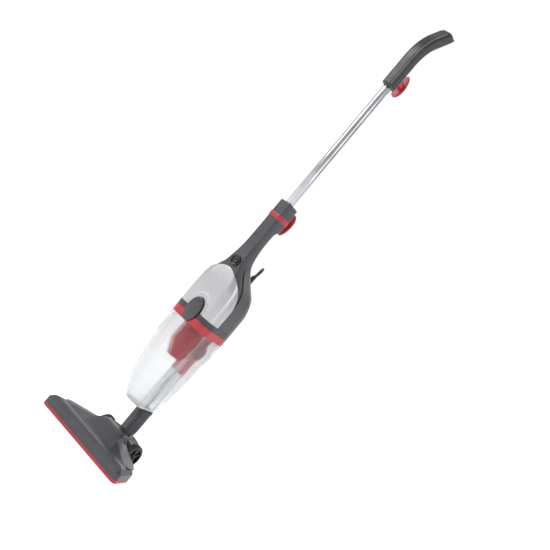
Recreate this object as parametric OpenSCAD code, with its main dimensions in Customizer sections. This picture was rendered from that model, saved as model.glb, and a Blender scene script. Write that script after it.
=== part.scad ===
// Upright stick vacuum cleaner. Millimetres, +Z up, front of the cleaner faces -Y.
// The origin is on the floor head's sole, straight under the axis of the steel tube.

/* [Handle] */
// Outside diameter of the steel tube
tube_d = 19; // [18:0.5:20]
// Height of the grip's lower end above the floor
grip_z = 957; // [900:1:1000]
// Angle that the grip bends back at its top
grip_bend = 37; // [30:1:42]

/* [Hand unit] */
// Width of the body at its widest
body_w = 106; // [102:1:110]
// Height of the top of the neck above the floor
neck_top = 640; // [630:1:650]
// Thickness of the moulded walls
wall = 2.4; // [2:0.1:3]
// Width of the oval release button
release_w = 34; // [28:1:36]
// Travel of the release button
release_travel = 3; // [2:0.5:3]
// Travel of the power button
power_travel = 1.5; // [1:0.5:2]

/* [Dust container] */
// Height of the container's bottom above the floor
cont_bottom = 123; // [120:1:126]
// Wall thickness of the clear container
cont_wall = 2.2; // [1.8:0.1:2.6]

/* [Floor head] */
// Width of the floor head
head_w = 254; // [240:2:270]
// Height of the hinge and wheel axis above the floor
axle_z = 28.5; // [28:0.5:30]
// Diameter of the wheels
wheel_d = 57; // [56:1:57]

/* [Cord] */
// Diameter of the cord
cord_d = 6.2; // [5.8:0.1:6.6]

/* [Hidden] */
$fn = 48;

charcoal = "#4a4b4f";
dark = "#38393d";
red = "#b3202c";
silver = "#b9b9ba";
steel = "#c4c4c6";
black = "#151515";
clear = [0.85, 0.88, 0.9, 0.35];

tube_r = tube_d / 2;
half_w = body_w / 2;
inlet_y = 84;          // axis of the dust inlet behind the tube's axis
inlet_r = 16;          // outside of the inlet spigot
duct_r = 13.6;         // bore of the inlet and the duct
flange_z = 324;        // the container's rim
band_z = 341;          // bottom of the dark lower band
panel_z = 353;         // bottom of the silver panel
arch_z = 398;          // where the panel's arch starts
panel_top = 465;       // top of the panel's arch
seat_y = 36;           // axis of the motor and the fan
hinge_y = 77;          // axis of the neck hinge and the wheels
drum_r = 20;           // hinge drum at the neck's foot
gap = 0.3;             // clearance between moving parts
corner_steps = 6;      // segments in each rounded corner of a shell

// ---- stations of the body, [height, value], smoothed between ----
width_at = [[cont_bottom, 22], [133, 26], [155, 32.5], [187, 40], [225, 46], [274, 50.5],
    [320, 52.6], [350, half_w], [398, half_w], [414, 52], [424, 51], [434, 48.6], [444, 44.5],
    [458, 35.5], [474, 26], [491, 20.5], [520, 17], [560, 16], [neck_top, 16.6]];
front_at = [[cont_bottom, 12], [133, 6], [155, -5], [187, -14.5], [225, -19.5], [274, -22.3],
    [350, -23], [424, -22.8], [458, -20.8], [491, -17.8], [530, -15.2], [neck_top, -15.5]];
back_at = [[cont_bottom, 98], [133, 99.5], [155, 100], [187, 101.5], [225, 103.5], [274, 105.3],
    [350, 106], [392, 105.7], [406, 103.6], [422, 96.5], [433, 90], [443, 82.5], [458, 64],
    [474, 44.5], [491, 26.5], [520, 15.2], [572, 14.2], [584, 23.5], [neck_top, 24.5]];
front_r_at = [[cont_bottom, 15], [155, 20], [225, 25], [400, 26], [444, 20], [474, 11],
    [520, 7], [neck_top, 7.5]];
back_r_at = [[cont_bottom, 21], [155, 31], [225, 44], [320, 50], [400, 51], [444, 42],
    [474, 23], [491, 17], [520, 10.5], [neck_top, 12]];
seam_at = [[cont_bottom, 40], [341, 15], [400, 14], [444, 8], [474, -1], [520, -6],
    [neck_top, -6]];

function lerp(a, b, t) = a + (b - a) * t;
function unit(v) = v / norm(v);
function station(t, z, i = 0) = (i >= len(t) - 2 || z < t[i + 1][0]) ? i : station(t, z, i + 1);
function rise(t, i, j) = (t[j][1] - t[i][1]) / (t[j][0] - t[i][0]);
function slope(t, i) = rise(t, max(i - 1, 0), min(i + 1, len(t) - 1));
// Value of a table at height z, on a cubic curve through its stations
function smooth(t, z) =
    let (i = station(t, z), h = t[i + 1][0] - t[i][0], u = max(0, min(1, (z - t[i][0]) / h)))
    t[i][1] * (2 * u * u * u - 3 * u * u + 1) + t[i + 1][1] * (3 * u * u - 2 * u * u * u)
    + h * (slope(t, i) * (u * u * u - 2 * u * u + u) + slope(t, i + 1) * (u * u * u - u * u));

function arc(x, y, r, a0, a1, z, steps = corner_steps) =
    [for (i = [0:steps]) let (a = lerp(a0, a1, i / steps)) [x + r * cos(a), y + r * sin(a), z]];
// Half outline of the body round its front, from -X to +X, inset by t
function front_half(z, t) =
    let (w = smooth(width_at, z), y = smooth(front_at, z), r = smooth(front_r_at, z),
        s = smooth(seam_at, z))
    concat([[t - w, s, z]], arc(r - w, y + r, r - t, 180, 270, z), arc(w - r, y + r, r - t, 270, 360, z),
        [[w - t, s, z]]);
// Half outline of the body round its back, from +X to -X, inset by t
function back_half(z, t) =
    let (w = smooth(width_at, z), y = smooth(back_at, z), r = min(smooth(back_r_at, z), w - 0.5),
        s = smooth(seam_at, z) + 0.02)
    concat([[w - t, s, z]], arc(w - r, y - r, r - t, 0, 90, z), arc(r - w, y - r, r - t, 90, 180, z),
        [[t - w, s, z]]);
// Whole outline of the body, inset by t
function ring(z, t) =
    let (w = smooth(width_at, z), f = smooth(front_at, z), b = smooth(back_at, z),
        p = smooth(front_r_at, z), q = min(smooth(back_r_at, z), w - 0.5))
    concat(arc(w - p, f + p, p - t, 270, 360, z), arc(w - q, b - q, q - t, 0, 90, z),
        arc(q - w, b - q, q - t, 90, 180, z), arc(p - w, f + p, p - t, 180, 270, z));
// Half length of the front outline from its centre to the seam
function front_run(z) = let (w = smooth(width_at, z), y = smooth(front_at, z), r = smooth(front_r_at, z))
    (w - r) + r * PI / 2 + max(0, smooth(seam_at, z) - y - r);
// Point on the front outline at distance s from its centre, inset by t
function front_point(z, s, t) =
    let (w = smooth(width_at, z), y = smooth(front_at, z), r = smooth(front_r_at, z), d = abs(s),
        flat = w - r, bend = r * PI / 2, a = (d - flat) / r * 180 / PI, side = s < 0 ? -1 : 1)
    d < flat ? [s, y + t, z]
    : d < flat + bend ? [side * (flat + (r - t) * sin(a)), y + r - (r - t) * cos(a), z]
    : [side * (w - t), y + r + d - flat - bend, z];
// Rounded box outline about a centre, with half sizes a and b
function box_ring(x, y, a, b, r, z, steps = 4) =
    concat(arc(x + a - r, y - b + r, r, 270, 360, z, steps), arc(x + a - r, y + b - r, r, 0, 90, z, steps),
        arc(x - a + r, y + b - r, r, 90, 180, z, steps), arc(x - a + r, y - b + r, r, 180, 270, z, steps));

function flat(list) = [for (ring = list) for (p = ring) p];
// Triangles of the strip between level k and level k + 1; turned swaps the side that faces out
function strip(n, k, i, base, turned) =
    let (j = (i + 1) % n, a = base + k * n + i, b = base + k * n + j, c = b + n, d = a + n)
    turned ? [[a, b, c], [a, c, d]] : [[a, d, c], [a, c, b]];
function quad(a, b, c, d) = [[a, b, c], [a, c, d]];

// Solid through a stack of closed outlines
module loft(rings) {
    n = len(rings[0]);
    m = len(rings);
    sides = [for (k = [0:m - 2]) for (i = [0:n - 1]) for (f = strip(n, k, i, 0, false)) f];
    polyhedron(flat(rings), concat(sides, [[for (i = [0:n - 1]) i]],
        [[for (i = [n - 1:-1:0]) (m - 1) * n + i]]), convexity = 6);
}

// Wall between two stacks of outlines, open at both ends; whole is false for a half outline
module skin(outer, inner, whole = true) {
    n = len(outer[0]);
    m = len(outer);
    s = n * m;
    last = whole ? n - 1 : n - 2;
    sides = [for (k = [0:m - 2]) for (i = [0:last]) for (f = concat(strip(n, k, i, 0, false),
        strip(n, k, i, s, true))) f];
    ends = [for (i = [0:last]) let (j = (i + 1) % n, t = (m - 1) * n)
        for (f = concat(quad(i, j, s + j, s + i), quad(t + j, t + i, s + t + i, s + t + j))) f];
    edges = whole ? [] : [for (k = [0:m - 2]) let (a = k * n, b = a + n - 1)
        for (f = concat(quad(a + n, a, s + a, s + a + n), quad(b, b + n, s + b + n, s + b))) f];
    polyhedron(concat(flat(outer), flat(inner)), concat(sides, ends, edges), convexity = 8);
}

// Hollow cup between two stacks of outlines, closed at the first level
module vessel(outer, inner) {
    n = len(outer[0]);
    m = len(outer);
    s = n * m;
    t = (m - 1) * n;
    sides = [for (k = [0:m - 2]) for (i = [0:n - 1]) for (f = concat(strip(n, k, i, 0, false),
        strip(n, k, i, s, true))) f];
    rim = [for (i = [0:n - 1]) let (j = (i + 1) % n)
        for (f = quad(t + j, t + i, s + t + i, s + t + j)) f];
    polyhedron(concat(flat(outer), flat(inner)), concat(sides, rim, [[for (i = [0:n - 1]) i]],
        [[for (i = [n - 1:-1:0]) s + i]]), convexity = 8);
}

// Hollow cover between two stacks of outlines, closed at the last level
module lid(outer, inner) {
    n = len(outer[0]);
    m = len(outer);
    s = n * m;
    t = (m - 1) * n;
    sides = [for (k = [0:m - 2]) for (i = [0:n - 1]) for (f = concat(strip(n, k, i, 0, false),
        strip(n, k, i, s, true))) f];
    rim = [for (i = [0:n - 1]) let (j = (i + 1) % n) for (f = quad(i, j, s + j, s + i)) f];
    polyhedron(concat(flat(outer), flat(inner)), concat(sides, rim, [[for (i = [n - 1:-1:0]) t + i]],
        [[for (i = [0:n - 1]) s + t + i]]), convexity = 8);
}

module ring_tube(r_out, r_in, h) {
    difference() {
        cylinder(r = r_out, h = h);
        translate([0, 0, -1]) cylinder(r = r_in, h = h + 2);
    }
}

// Cylinder along +X from the given point
module along_x(x, y, z, r, h) {
    translate([x, y, z]) rotate([0, 90, 0]) cylinder(r = r, h = h);
}

// Cylinder along +Y from the given point
module along_y(x, y, z, r, h) {
    translate([x, y, z]) rotate([-90, 0, 0]) cylinder(r = r, h = h);
}

// Upright oval plate that faces -Y, from y to y + t
module oval(a, b, y, z, t) {
    translate([0, y, z]) rotate([-90, 0, 0]) linear_extrude(t)
        polygon([for (i = [0:39]) [a * cos(i * 9), b * sin(i * 9)]]);
}

// ================= Floor head =================
head_front = -42;
head_back = 32;
cover_z = 5.6;

// Plan of the floor head at height z, inset by t: wide in front, narrower at the back
function head_plan(z, t) =
    let (w = head_w / 2, f = head_front + t, b = head_back - t, k = 0.2, r = max(9 - t, 1.5),
        p = w - t, q = w - t - k * (b - f))
    concat(arc(p - r, f + r, r, 270, 372, z, 5), arc(q - r, b - r, r, 12, 90, z, 4),
        arc(r - q, b - r, r, 90, 168, z, 4), arc(r - p, f + r, r, 168, 270, z, 5));

module head_cover() {
    levels = [[cover_z, 0], [19, 0], [21.5, 1], [29, 9], [31, 13], [32, 18]];
    color(charcoal) difference() {
        lid([for (l = levels) head_plan(l[0], l[1])],
            [for (l = levels) head_plan(l[0] == cover_z ? cover_z : l[0] - 2, l[1] + 2.4)]);
        translate([-37, -13, 18]) cube([74, 60, 20]);
        translate([-37, 27, 0]) cube([74, 20, 40]);
    }
}

// Rectangle of half width a from y0 to y1, at height z
function apron(a, y0, y1, z) = [[-a, y0, z], [a, y0, z], [a, y1, z], [-a, y1, z]];

// Outlines of the sloping shoulder beside the raised housing, for the right side
shoulder_foot = [[30, -10.5], [104, -10.5], [112, -2], [112, 18], [98, 33], [30, 46.5]];
shoulder_top = [[30, 14], [40, 14], [46, 22], [46, 40], [44, 45], [30, 46.4]];
hollow_foot = [[28, -5.5], [98, -5.5], [104, 1], [104, 16], [94, 29.5], [28, 44]];
hollow_top = [[28, 16], [38, 16], [43, 23], [43, 38], [41.5, 42.4], [28, 44]];
function shoulder(side, points, z) =
    [for (i = [0:5]) let (p = points[side > 0 ? i : 5 - i]) [side * p[0], p[1], z]];

// Raised housing of the floor head with a sloping shoulder each side, open behind, with a cheek each
// side of the hinge drum
module head_housing() {
    cheek_in = 30 + gap;
    cheek_out = 39;
    pin_end = 33.8;
    color(charcoal) difference() {
        union() {
            difference() {
                union() {
                    loft([box_ring(0, 24, 36.7, 36.7, 4, 27), box_ring(0, 24, 36.7, 36.7, 4, 31),
                        box_ring(0, 38, 35.5, 22, 8, 48), box_ring(0, 44, 33.5, 14, 8, 57),
                        box_ring(0, 46, 30, 8, 6, 60)]);
                    loft([apron(53, -11, 47, 32.1), apron(35, 32, 47, 57)]);
                    for (s = [-1, 1]) loft([shoulder(s, shoulder_foot, 32.1), shoulder(s, shoulder_top, 46.5)]);
                }
                loft([box_ring(0, 24, 34.2, 34.2, 3, 26), box_ring(0, 24, 34.2, 34.2, 3, 29.5),
                    box_ring(0, 38, 33, 19.5, 6, 46), box_ring(0, 44, 31, 11.5, 6, 54.5),
                    box_ring(0, 46, 27.5, 5.5, 4, 57)]);
                loft([apron(50.8, -8.1, 44.6, 31), apron(33.9, 32.3, 44.6, 54.4)]);
                for (s = [-1, 1]) loft([shoulder(s, hollow_foot, 31), shoulder(s, hollow_top, 43.8)]);
                translate([-cheek_in, 50, 0]) cube([2 * cheek_in, 60, 80]);
            }
            for (x = [-cheek_out, cheek_in]) {
                along_x(x, hinge_y, axle_z, 21, cheek_out - cheek_in);
                translate([x, 44, 6]) cube([cheek_out - cheek_in, hinge_y - 44, 32]);
            }
        }
        along_x(-pin_end, hinge_y, axle_z, 6.05, 2 * pin_end);
        along_x(-50, hinge_y, axle_z, 3.02, 100);
        along_x(-cheek_in, hinge_y, axle_z, drum_r + gap + 0.2, 2 * cheek_in);
    }
}

module sole_plate() {
    color(dark) difference() {
        union() {
            linear_extrude(4) polygon([for (p = head_plan(0, 3)) [p[0], p[1]]]);
            translate([-34, 20, 0]) cube([68, 36, 4]);
        }
        translate([-104, -31, -1]) cube([208, 16, 6]);
        for (x = [-110, 12]) translate([x, -10, -1]) cube([98, 7, 2.6]);
        for (x = [-100, 100]) translate([x, 10, -1]) cylinder(r = 3.4, h = 2.6);
        for (x = [-26, 26]) translate([x, 48, -1]) cylinder(r = 3.4, h = 2.6);
    }
}

module edge_trim() {
    color(red) difference() {
        translate([0, 0, 0.8]) linear_extrude(4.6) polygon([for (p = head_plan(0, 0)) [p[0], p[1]]]);
        linear_extrude(7) polygon([for (p = head_plan(0, 2.9)) [p[0], p[1]]]);
        translate([-37, 26, 0]) cube([74, 10, 8]);
    }
}

module lint_pads() {
    color("#8c1c26") for (x = [-109.5, 12.5]) translate([x, -9.5, 0.2]) cube([97, 6, 1.3]);
}

// Air way from the mouth in the sole up to the hinge drum
module throat_duct() {
    stations = [[-14, 80, 4.2, 14], [-2, 52, 4.6, 18], [16, 28, 6.5, 24], [40, 20, 10, 36],
        [56, 17, 12, 42]];
    color(dark) difference() {
        skin([for (s = stations) throat_ring(s, 0)], [for (s = stations) throat_ring(s, -1.6)]);
        translate([-40, hinge_y, 0]) rotate([0, 90, 0]) translate([-axle_z, 0, 0])
            cylinder(r = drum_r + gap, h = 80);
    }
}
function throat_ring(s, t) = let (a = s[1] + t, lo = s[2] - t, hi = s[3] + t, y = s[0])
    [[-a, y, lo], [-a, y, hi], [a, y, hi], [a, y, lo]];

module stub_axle(side) {
    color(steel) {
        along_x(side > 0 ? 34 : -58, hinge_y, axle_z, 3, 24);
        along_x(side > 0 ? 57.4 : -59.4, hinge_y, axle_z, 5, 2);
    }
}
module axle_right() { stub_axle(1); }
module axle_left() { stub_axle(-1); }

module wheel_hub(side) {
    x = side > 0 ? 43 : -57;
    color(black) difference() {
        union() {
            along_x(x, hinge_y, axle_z, 8, 14);
            along_x(x + 5, hinge_y, axle_z, 22, 4);
            difference() {
                along_x(x, hinge_y, axle_z, 25, 14);
                along_x(x - 1, hinge_y, axle_z, 22, 16);
            }
        }
        along_x(x - 1, hinge_y, axle_z, 3.05, 16);
    }
}
module wheel_hub_right() { wheel_hub(1); }
module wheel_hub_left() { wheel_hub(-1); }

module tyre(side) {
    x = side > 0 ? 43 : -57;
    color(black) translate([x, hinge_y, axle_z]) rotate([0, 90, 0]) rotate_extrude($fn = 64)
        polygon([[25.02, 0.5], [wheel_d / 2 - 1.5, 0.5], [wheel_d / 2, 2.5], [wheel_d / 2, 11.5],
            [wheel_d / 2 - 1.5, 13.5], [25.02, 13.5]]);
}
module tyre_right() { tyre(1); }
module tyre_left() { tyre(-1); }

module sole_screws() {
    color(steel) {
        for (x = [-100, 100]) translate([x, 10, 0.1]) cylinder(r = 3, h = 1.4);
        for (x = [-26, 26]) translate([x, 48, 0.1]) cylinder(r = 3, h = 1.4);
    }
}

// ================= Neck =================
socket_top = cont_bottom - 0.4;

module neck_tube() {
    pin_reach = 33.6;
    color(charcoal) difference() {
        union() {
            along_x(-30, hinge_y, axle_z, drum_r, 60);
            along_x(-pin_reach, hinge_y, axle_z, 6, 2 * pin_reach);
            loft([box_ring(0, hinge_y, 16, 16, 15.5, 36, 8), box_ring(0, 81, 17, 17, 16.8, 52, 8),
                box_ring(0, 84, 17.6, 17.6, 17.4, 62, 8), box_ring(0, inlet_y, 17.8, 17.8, 17.7, 70, 8)]);
            translate([0, inlet_y, 69.5]) cylinder(r = 18.2, h = socket_top - 69.5);
            translate([0, inlet_y, socket_top - 9]) cylinder(r = 19, h = 6);
            translate([-3, inlet_y + 17, socket_top - 18]) cube([6, 5, 14]);
        }
        translate([0, inlet_y, 94]) cylinder(r = inlet_r + 0.06, h = 60);
        translate([0, inlet_y, 60]) cylinder(r = 13, h = 50);
        translate([0, 80.5, 26]) cylinder(r = 13, h = 40);
        translate([-13, 40, 17]) cube([26, 38, 23]);
        for (a = [30:60:330]) translate([0, inlet_y, socket_top]) rotate([0, 0, a])
            translate([14, -2.2, -2.6]) cube([8, 4.4, 4]);
    }
}

module neck_seal() {
    color(black) translate([0, inlet_y, 94.05]) ring_tube(15.6, 13.2, 2.6);
}

// ================= Dust container =================
spigot_z = 97;
duct_top = 242;

module dust_container() {
    levels = [cont_bottom, 126, 130, 136, 144, 155, 170, 187, 206, 225, 250, 274, 300, flange_z];
    color(clear) difference() {
        vessel([for (z = levels) ring(z, 0)],
            [for (z = levels) z == cont_bottom ? ring(126, cont_wall) : ring(z + 0.01, cont_wall)]);
        translate([0, inlet_y, spigot_z - 1]) cylinder(r = inlet_r + 0.04, h = 160);
    }
}

// Clear duct that stands in the container, bonded into its floor and back wall
module inlet_tube() {
    color(clear) difference() {
        union() {
            translate([0, inlet_y, spigot_z]) cylinder(r = inlet_r, h = 222 - spigot_z);
            translate([0, inlet_y, 221]) cylinder(r = 14.9, h = duct_top - 221);
        }
        translate([0, inlet_y, spigot_z - 1]) cylinder(r = duct_r, h = 160);
    }
}

module rim_gasket() {
    color(black) skin([ring(flange_z + 0.02, 3.2), ring(flange_z + 1.6, 3.2)],
        [ring(flange_z + 0.02, 4.6), ring(flange_z + 1.6, 4.6)]);
}

pocket_y = -20.7;
// Shallow pocket that the release button sinks into
module release_pocket() {
    oval(release_w / 2 + 0.6, 29.4, -30, panel_z, pocket_y + 30);
}

// ================= Filter group =================
cup_y = 28;
cup_r = 26;
hood_y = 78;
hood_z = 283;
hood_r = 19.4;
tube_out = 16.4;

module filter_cup() {
    color(red) difference() {
        union() {
            difference() {
                loft([ring(flange_z + 0.1, 0), ring(band_z, 0)]);
                loft([ring(flange_z - 1, 2.8), ring(flange_z + 6, 2.8)]);
                loft([ring(band_z - 6, 2.8), ring(band_z + 1, 2.8)]);
            }
            translate([0, cup_y, 276]) cylinder(r = cup_r, h = 58);
            translate([0, cup_y, 258]) cylinder(r1 = 17, r2 = 25, h = 18.5);
            translate([0, cup_y + 2, 247]) cylinder(r1 = 13.5, r2 = 17, h = 11.5);
        }
        translate([0, cup_y, 260]) cylinder(r = 15.4, h = 18);
        translate([0, cup_y, 277]) cylinder(r = cup_r - 2.2, h = 80);
        translate([0, inlet_y, 300]) cylinder(r = tube_out + 0.3, h = 60);
        for (a = [20:35:160]) translate([0, cup_y, 280]) rotate([0, 0, a])
            translate([18, -3, 0]) cube([14, 6, 38]);
        release_pocket();
    }
}

module intake_hood() {
    color(red) difference() {
        union() {
            translate([0, inlet_y, 223]) cylinder(r = tube_out, h = 106);
            along_x(-19, hood_y, hood_z, hood_r, 38);
        }
        translate([0, inlet_y, 222]) cylinder(r = 15, h = 104);
        along_x(-17, hood_y, hood_z, hood_r - 2, 40);
    }
}

module pleated_filter() {
    pleats = 26;
    color("#e6e2d6") translate([0, cup_y, 279]) difference() {
        linear_extrude(52) polygon([for (i = [0:2 * pleats - 1])
            let (a = i * 180 / pleats, r = i % 2 == 0 ? 23 : 19) [r * cos(a), r * sin(a)]]);
        translate([0, 0, 3]) cylinder(r = 14.5, h = 60);
    }
}

module filter_gasket() {
    color(black) translate([0, cup_y, band_z - 5.9]) ring_tube(28.5, 23, 3);
}

// ================= Hand unit =================

module lower_band() {
    color(dark) difference() {
        loft([ring(band_z + 0.05, 0), ring(panel_z - 0.05, 0)]);
        loft([ring(band_z + 4, 2.8), ring(panel_z + 2, 2.8)]);
        loft([ring(band_z - 2, 2.8), ring(band_z + 1.6, 2.8)]);
        translate([0, cup_y, band_z - 2]) cylinder(r = 22, h = 20);
        release_pocket();
    }
}

shell_levels = [panel_z, 372, 390, 404, 414, 424, 434, 444, 451, 458, 466, 474, 482, 491, 504, 520, 546,
    571, 578, 585, 610, neck_top];

function panel_step(z) = z < panel_top + 6 ? 2.3 : max(0, 2.3 * (1 - (z - panel_top - 6) / 14));

module front_shell() {
    color(charcoal) difference() {
        skin([for (z = shell_levels) front_half(z, panel_step(z))],
            [for (z = shell_levels) front_half(z, panel_step(z) + wall)], false);
        along_y(0, -30, 483, 11.6, 30);
        translate([-4.2, -30, 354]) cube([8.4, 20, 8]);
    }
}

// Where the strain relief stands on the back shoulder, leaning back
relief_foot = [0, 62.5, 446];
relief_lean = 25;
relief_length = 40;

module back_shell() {
    color(charcoal) difference() {
        skin([for (z = shell_levels) back_half(z, 0)],
            [for (z = shell_levels) back_half(z, wall)], false);
        translate(relief_foot) rotate([-relief_lean, 0, 0]) cylinder(r = 6.2, h = 30);
        translate([-24, 95, 366]) cube([48, 20, 30]);
        for (z = [530, 620]) along_y(0, 6, z, 2.6, 40);
    }
}

// Half width of the panel along the outline, as a share of the whole run to the seam
function panel_share(z) = z <= arch_z ? 1
    : let (u = (z - arch_z) / (panel_top - arch_z)) max(0.03, sqrt(max(0, 1 - u * u)) * (1 - 0.1 * u));

module silver_panel() {
    levels = [panel_z, 366, 380, 392, arch_z, 408, 418, 428, 438, 446, 452, 457, 461, 463.5, panel_top];
    steps = 20;
    color(silver) difference() {
        skin([for (z = levels) let (e = front_run(z) * panel_share(z) - 0.3)
                [for (i = [0:steps]) front_point(z, lerp(-e, e, i / steps), 0)]],
            [for (z = levels) let (e = front_run(z) * panel_share(z) - 0.3)
                [for (i = [0:steps]) front_point(z, lerp(-e, e, i / steps), 1.4)]], false);
        oval(release_w / 2 + 0.6, 29.4, -30, panel_z, 20);
    }
}

module release_button() {
    back = pocket_y - 0.6 - release_travel;
    color(dark) {
        oval(release_w / 2 - 1.6, 26.6, back - 2.8, panel_z, 1.2);
        oval(release_w / 2, 28.4, back - 1.6, panel_z, 1.6);
        translate([-3.8, back, 355]) cube([7.6, 10, 4.4]);
        translate([-3.8, back + 9.9, 355]) cube([7.6, 2, 9]);
    }
}

module release_spring() {
    color(steel) translate([0, -9.4, 359.5]) rotate([-90, 0, 0]) for (i = [0:2])
        translate([0, 0, i * 1.2]) ring_tube(3.4, 2.5, 1.1);
}

module power_bezel() {
    color(black) difference() {
        union() {
            along_y(0, -20.3, 483, 11.4, 7);
            along_y(0, -20.9, 483, 10.2, 2);
        }
        along_y(0, -22, 485, 7.9, 20);
        along_y(0, -22, 480, 7.0, 2.6);
    }
}

module power_button() {
    front = -19.1 - power_travel;
    color(dark) {
        along_y(0, front, 485, 7.5, 6);
        along_y(0, front - 0.8, 485, 6.2, 1.6);
    }
}

module switch_body() {
    color(black) {
        translate([-8, -12.6, 472]) cube([16, 13, 22]);
        for (x = [-5, 2]) translate([x, 0.4, 478]) cube([3, 5, 0.8]);
    }
}

module motor_can() {
    color(steel) translate([0, seat_y, 376]) difference() {
        union() {
            cylinder(r = 27, h = 54);
            translate([0, 0, 50]) cylinder(r = 12, h = 10);
            cylinder(r = 29.5, h = 3);
        }
        translate([0, 0, -1]) cylinder(r = 24, h = 50);
        translate([0, 0, 40]) cylinder(r = 9, h = 16);
        translate([0, 0, 50]) cylinder(r = 4, h = 12);
        for (a = [0:60:300]) rotate([0, 0, a]) translate([14, -3, 47]) cube([8, 6, 10]);
    }
}

module armature() {
    color("#7a4a2a") translate([0, seat_y, 0]) {
        cylinder_at(354, 2.5, 79);
        cylinder_at(380, 19, 30);
        cylinder_at(412, 10, 10);
    }
}
module cylinder_at(z, r, h) {
    translate([0, 0, z]) cylinder(r = r, h = h);
}

module impeller() {
    color("#d0d0d0") translate([0, seat_y, 0]) difference() {
        union() {
            cylinder_at(356.5, 37, 1);
            cylinder_at(365, 37, 1);
            cylinder_at(356.5, 6, 9);
            for (a = [0:40:320]) rotate([0, 0, a]) translate([8, -0.5, 357]) rotate([0, 0, 24])
                cube([28, 1, 8.5]);
        }
        cylinder_at(350, 2.5, 30);
        difference() {
            cylinder_at(356, 17, 1.4);
            cylinder_at(355, 6, 3);
        }
    }
}

module fan_cover() {
    color(steel) translate([0, seat_y, 0]) difference() {
        cylinder_at(354.2, 40, 18);
        cylinder_at(355.4, 38.6, 15);
        cylinder_at(353, 16, 4);
        cylinder_at(368, 9, 8);
        for (a = [0:30:330]) rotate([0, 0, a]) translate([28, -3, 369]) cube([7, 6, 5]);
    }
}

module motor_cushions() {
    color(black) translate([0, seat_y, 0]) {
        difference() {
            cylinder_at(372.3, 29, 3.6);
            cylinder_at(372, 23, 5);
        }
        difference() {
            cylinder_at(430.4, 16, 6);
            cylinder_at(430, 12.3, 8);
        }
    }
}

module bearings() {
    color(steel) translate([0, seat_y, 0]) {
        translate([0, 0, 426.2]) ring_tube(8.9, 2.55, 4);
        translate([0, 0, 372.4]) ring_tube(8.9, 2.55, 4);
    }
}

module noise_capacitor() {
    color("#c9a227") translate([-33, 66, 384]) cube([16, 8, 13]);
}

module exhaust_grille() {
    color(dark) difference() {
        intersection() {
            skin([ring(366.2, 0.1), ring(381, 0.1), ring(395.8, 0.1)],
                [ring(366.2, 2), ring(381, 2), ring(395.8, 2)]);
            translate([-23.8, 94, 360]) cube([47.6, 20, 40]);
        }
        for (i = [0:6]) translate([-20, 90, 369 + i * 3.6]) cube([40, 20, 1.8]);
    }
}

module exhaust_foam() {
    color("#2a2a2a") translate([-22, 90, 368]) cube([44, 3.5, 26]);
}

module tube_socket() {
    color(dark) translate([0, 0, 556]) difference() {
        cylinder(r = 11, h = neck_top - 556.2);
        translate([0, 0, 4]) cylinder(r = tube_r + 0.08, h = 100);
    }
}

// Paddle of a cord hook: an egg shaped plate that faces back, with its tip up or down
module paddle(y, z, up) {
    s = up ? 1 : -1;
    translate([0, y, z]) rotate([-90, 0, 0]) linear_extrude(4.4)
        polygon([for (i = [0:31]) let (a = i * 11.25) [11.8 * cos(a) * (1 - 0.16 * sin(a)),
            -s * 27 * sin(a)]]);
}

module lower_hook() {
    color(red) union() {
        skin([ring(600, -1.4), ring(611, -1.4)], [ring(600, -0.1), ring(611, -0.1)]);
        translate([-5.5, 25.3, 599]) cube([11, 18, 13]);
        paddle(42, 608, false);
    }
}

module shell_screws() {
    color(steel) for (z = [530, 620]) along_y(0, 12.6, z, 2.4, z > 600 ? 8 : 2);
}

module strain_relief() {
    ribs = 7;
    color(black) translate(relief_foot) rotate([-relief_lean, 0, 0]) difference() {
        union() {
            translate([0, 0, -2]) cylinder(r = 6.1, h = 16);
            translate([0, 0, 14]) cylinder(r1 = 5.6, r2 = 4.2, h = relief_length - 14);
            for (i = [0:ribs - 1]) translate([0, 0, 15 + i * 3.5]) cylinder(r = 6.2 - i * 0.18, h = 2);
        }
        translate([0, 0, -3]) cylinder(r = 2, h = 30);
    }
}

// ================= Handle =================
bend_z = 1027;
bend_radius = 110;
bend_run = 66;

module steel_tube() {
    color(steel) translate([0, 0, 561]) difference() {
        cylinder(r = tube_r, h = 445, $fn = 64);
        translate([0, 0, -1]) cylinder(r = tube_r - 1, h = 447, $fn = 64);
    }
}

// Grip outline: straight, then bent back along an arc, then straight again
function grip_ring(s, t) =
    let (u = s - bend_z, bend = bend_radius * grip_bend * PI / 180,
        a = u < 0 ? 0 : min(grip_bend, u / bend_radius * 180 / PI), extra = max(0, u - bend),
        y = bend_radius * (1 - cos(a)) + extra * sin(a),
        z = u < 0 ? s : bend_z + bend_radius * sin(a) + extra * cos(a),
        outline = box_ring(0, -1, 13.2 - t, 14.2 - t, 7.5 - t, 0, 4))
    [for (p = outline) [p[0], y + p[1] * cos(a), z - p[1] * sin(a)]];

module grip() {
    stops = concat([grip_z, grip_z + 3, 990], [for (i = [0:8]) bend_z + i * 9], [bend_z + 92, bend_z + 140]);
    color(charcoal) difference() {
        loft([for (s = stops) grip_ring(s, s == grip_z ? 1.2 : 0)]);
        translate([0, 0, 900]) cylinder(r = tube_r + 0.02, h = 106.1);
        translate([-40, -60, 1132]) cube([80, 180, 60]);
        along_y(0, 8, 984, 4.05, 12);
    }
}

module grip_cap() {
    color(dark) intersection() {
        loft([grip_ring(bend_z + 60, 0.4), grip_ring(bend_z + 140, 0.4)]);
        translate([-40, -60, 1132.05]) cube([80, 180, 4.9]);
    }
}

module upper_hook() {
    color(red) {
        difference() {
            union() {
                along_y(0, 13.5, 984, 8, 24);
                paddle(36, 984, true);
            }
            along_y(0, 5, 984, 4.05, 60);
        }
    }
}

module hook_pin() {
    color(steel) {
        along_y(0, tube_r + 0.1, 984, 4, 30.4);
        along_y(0, 40.5, 984, 6, 1.6);
    }
}

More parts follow.
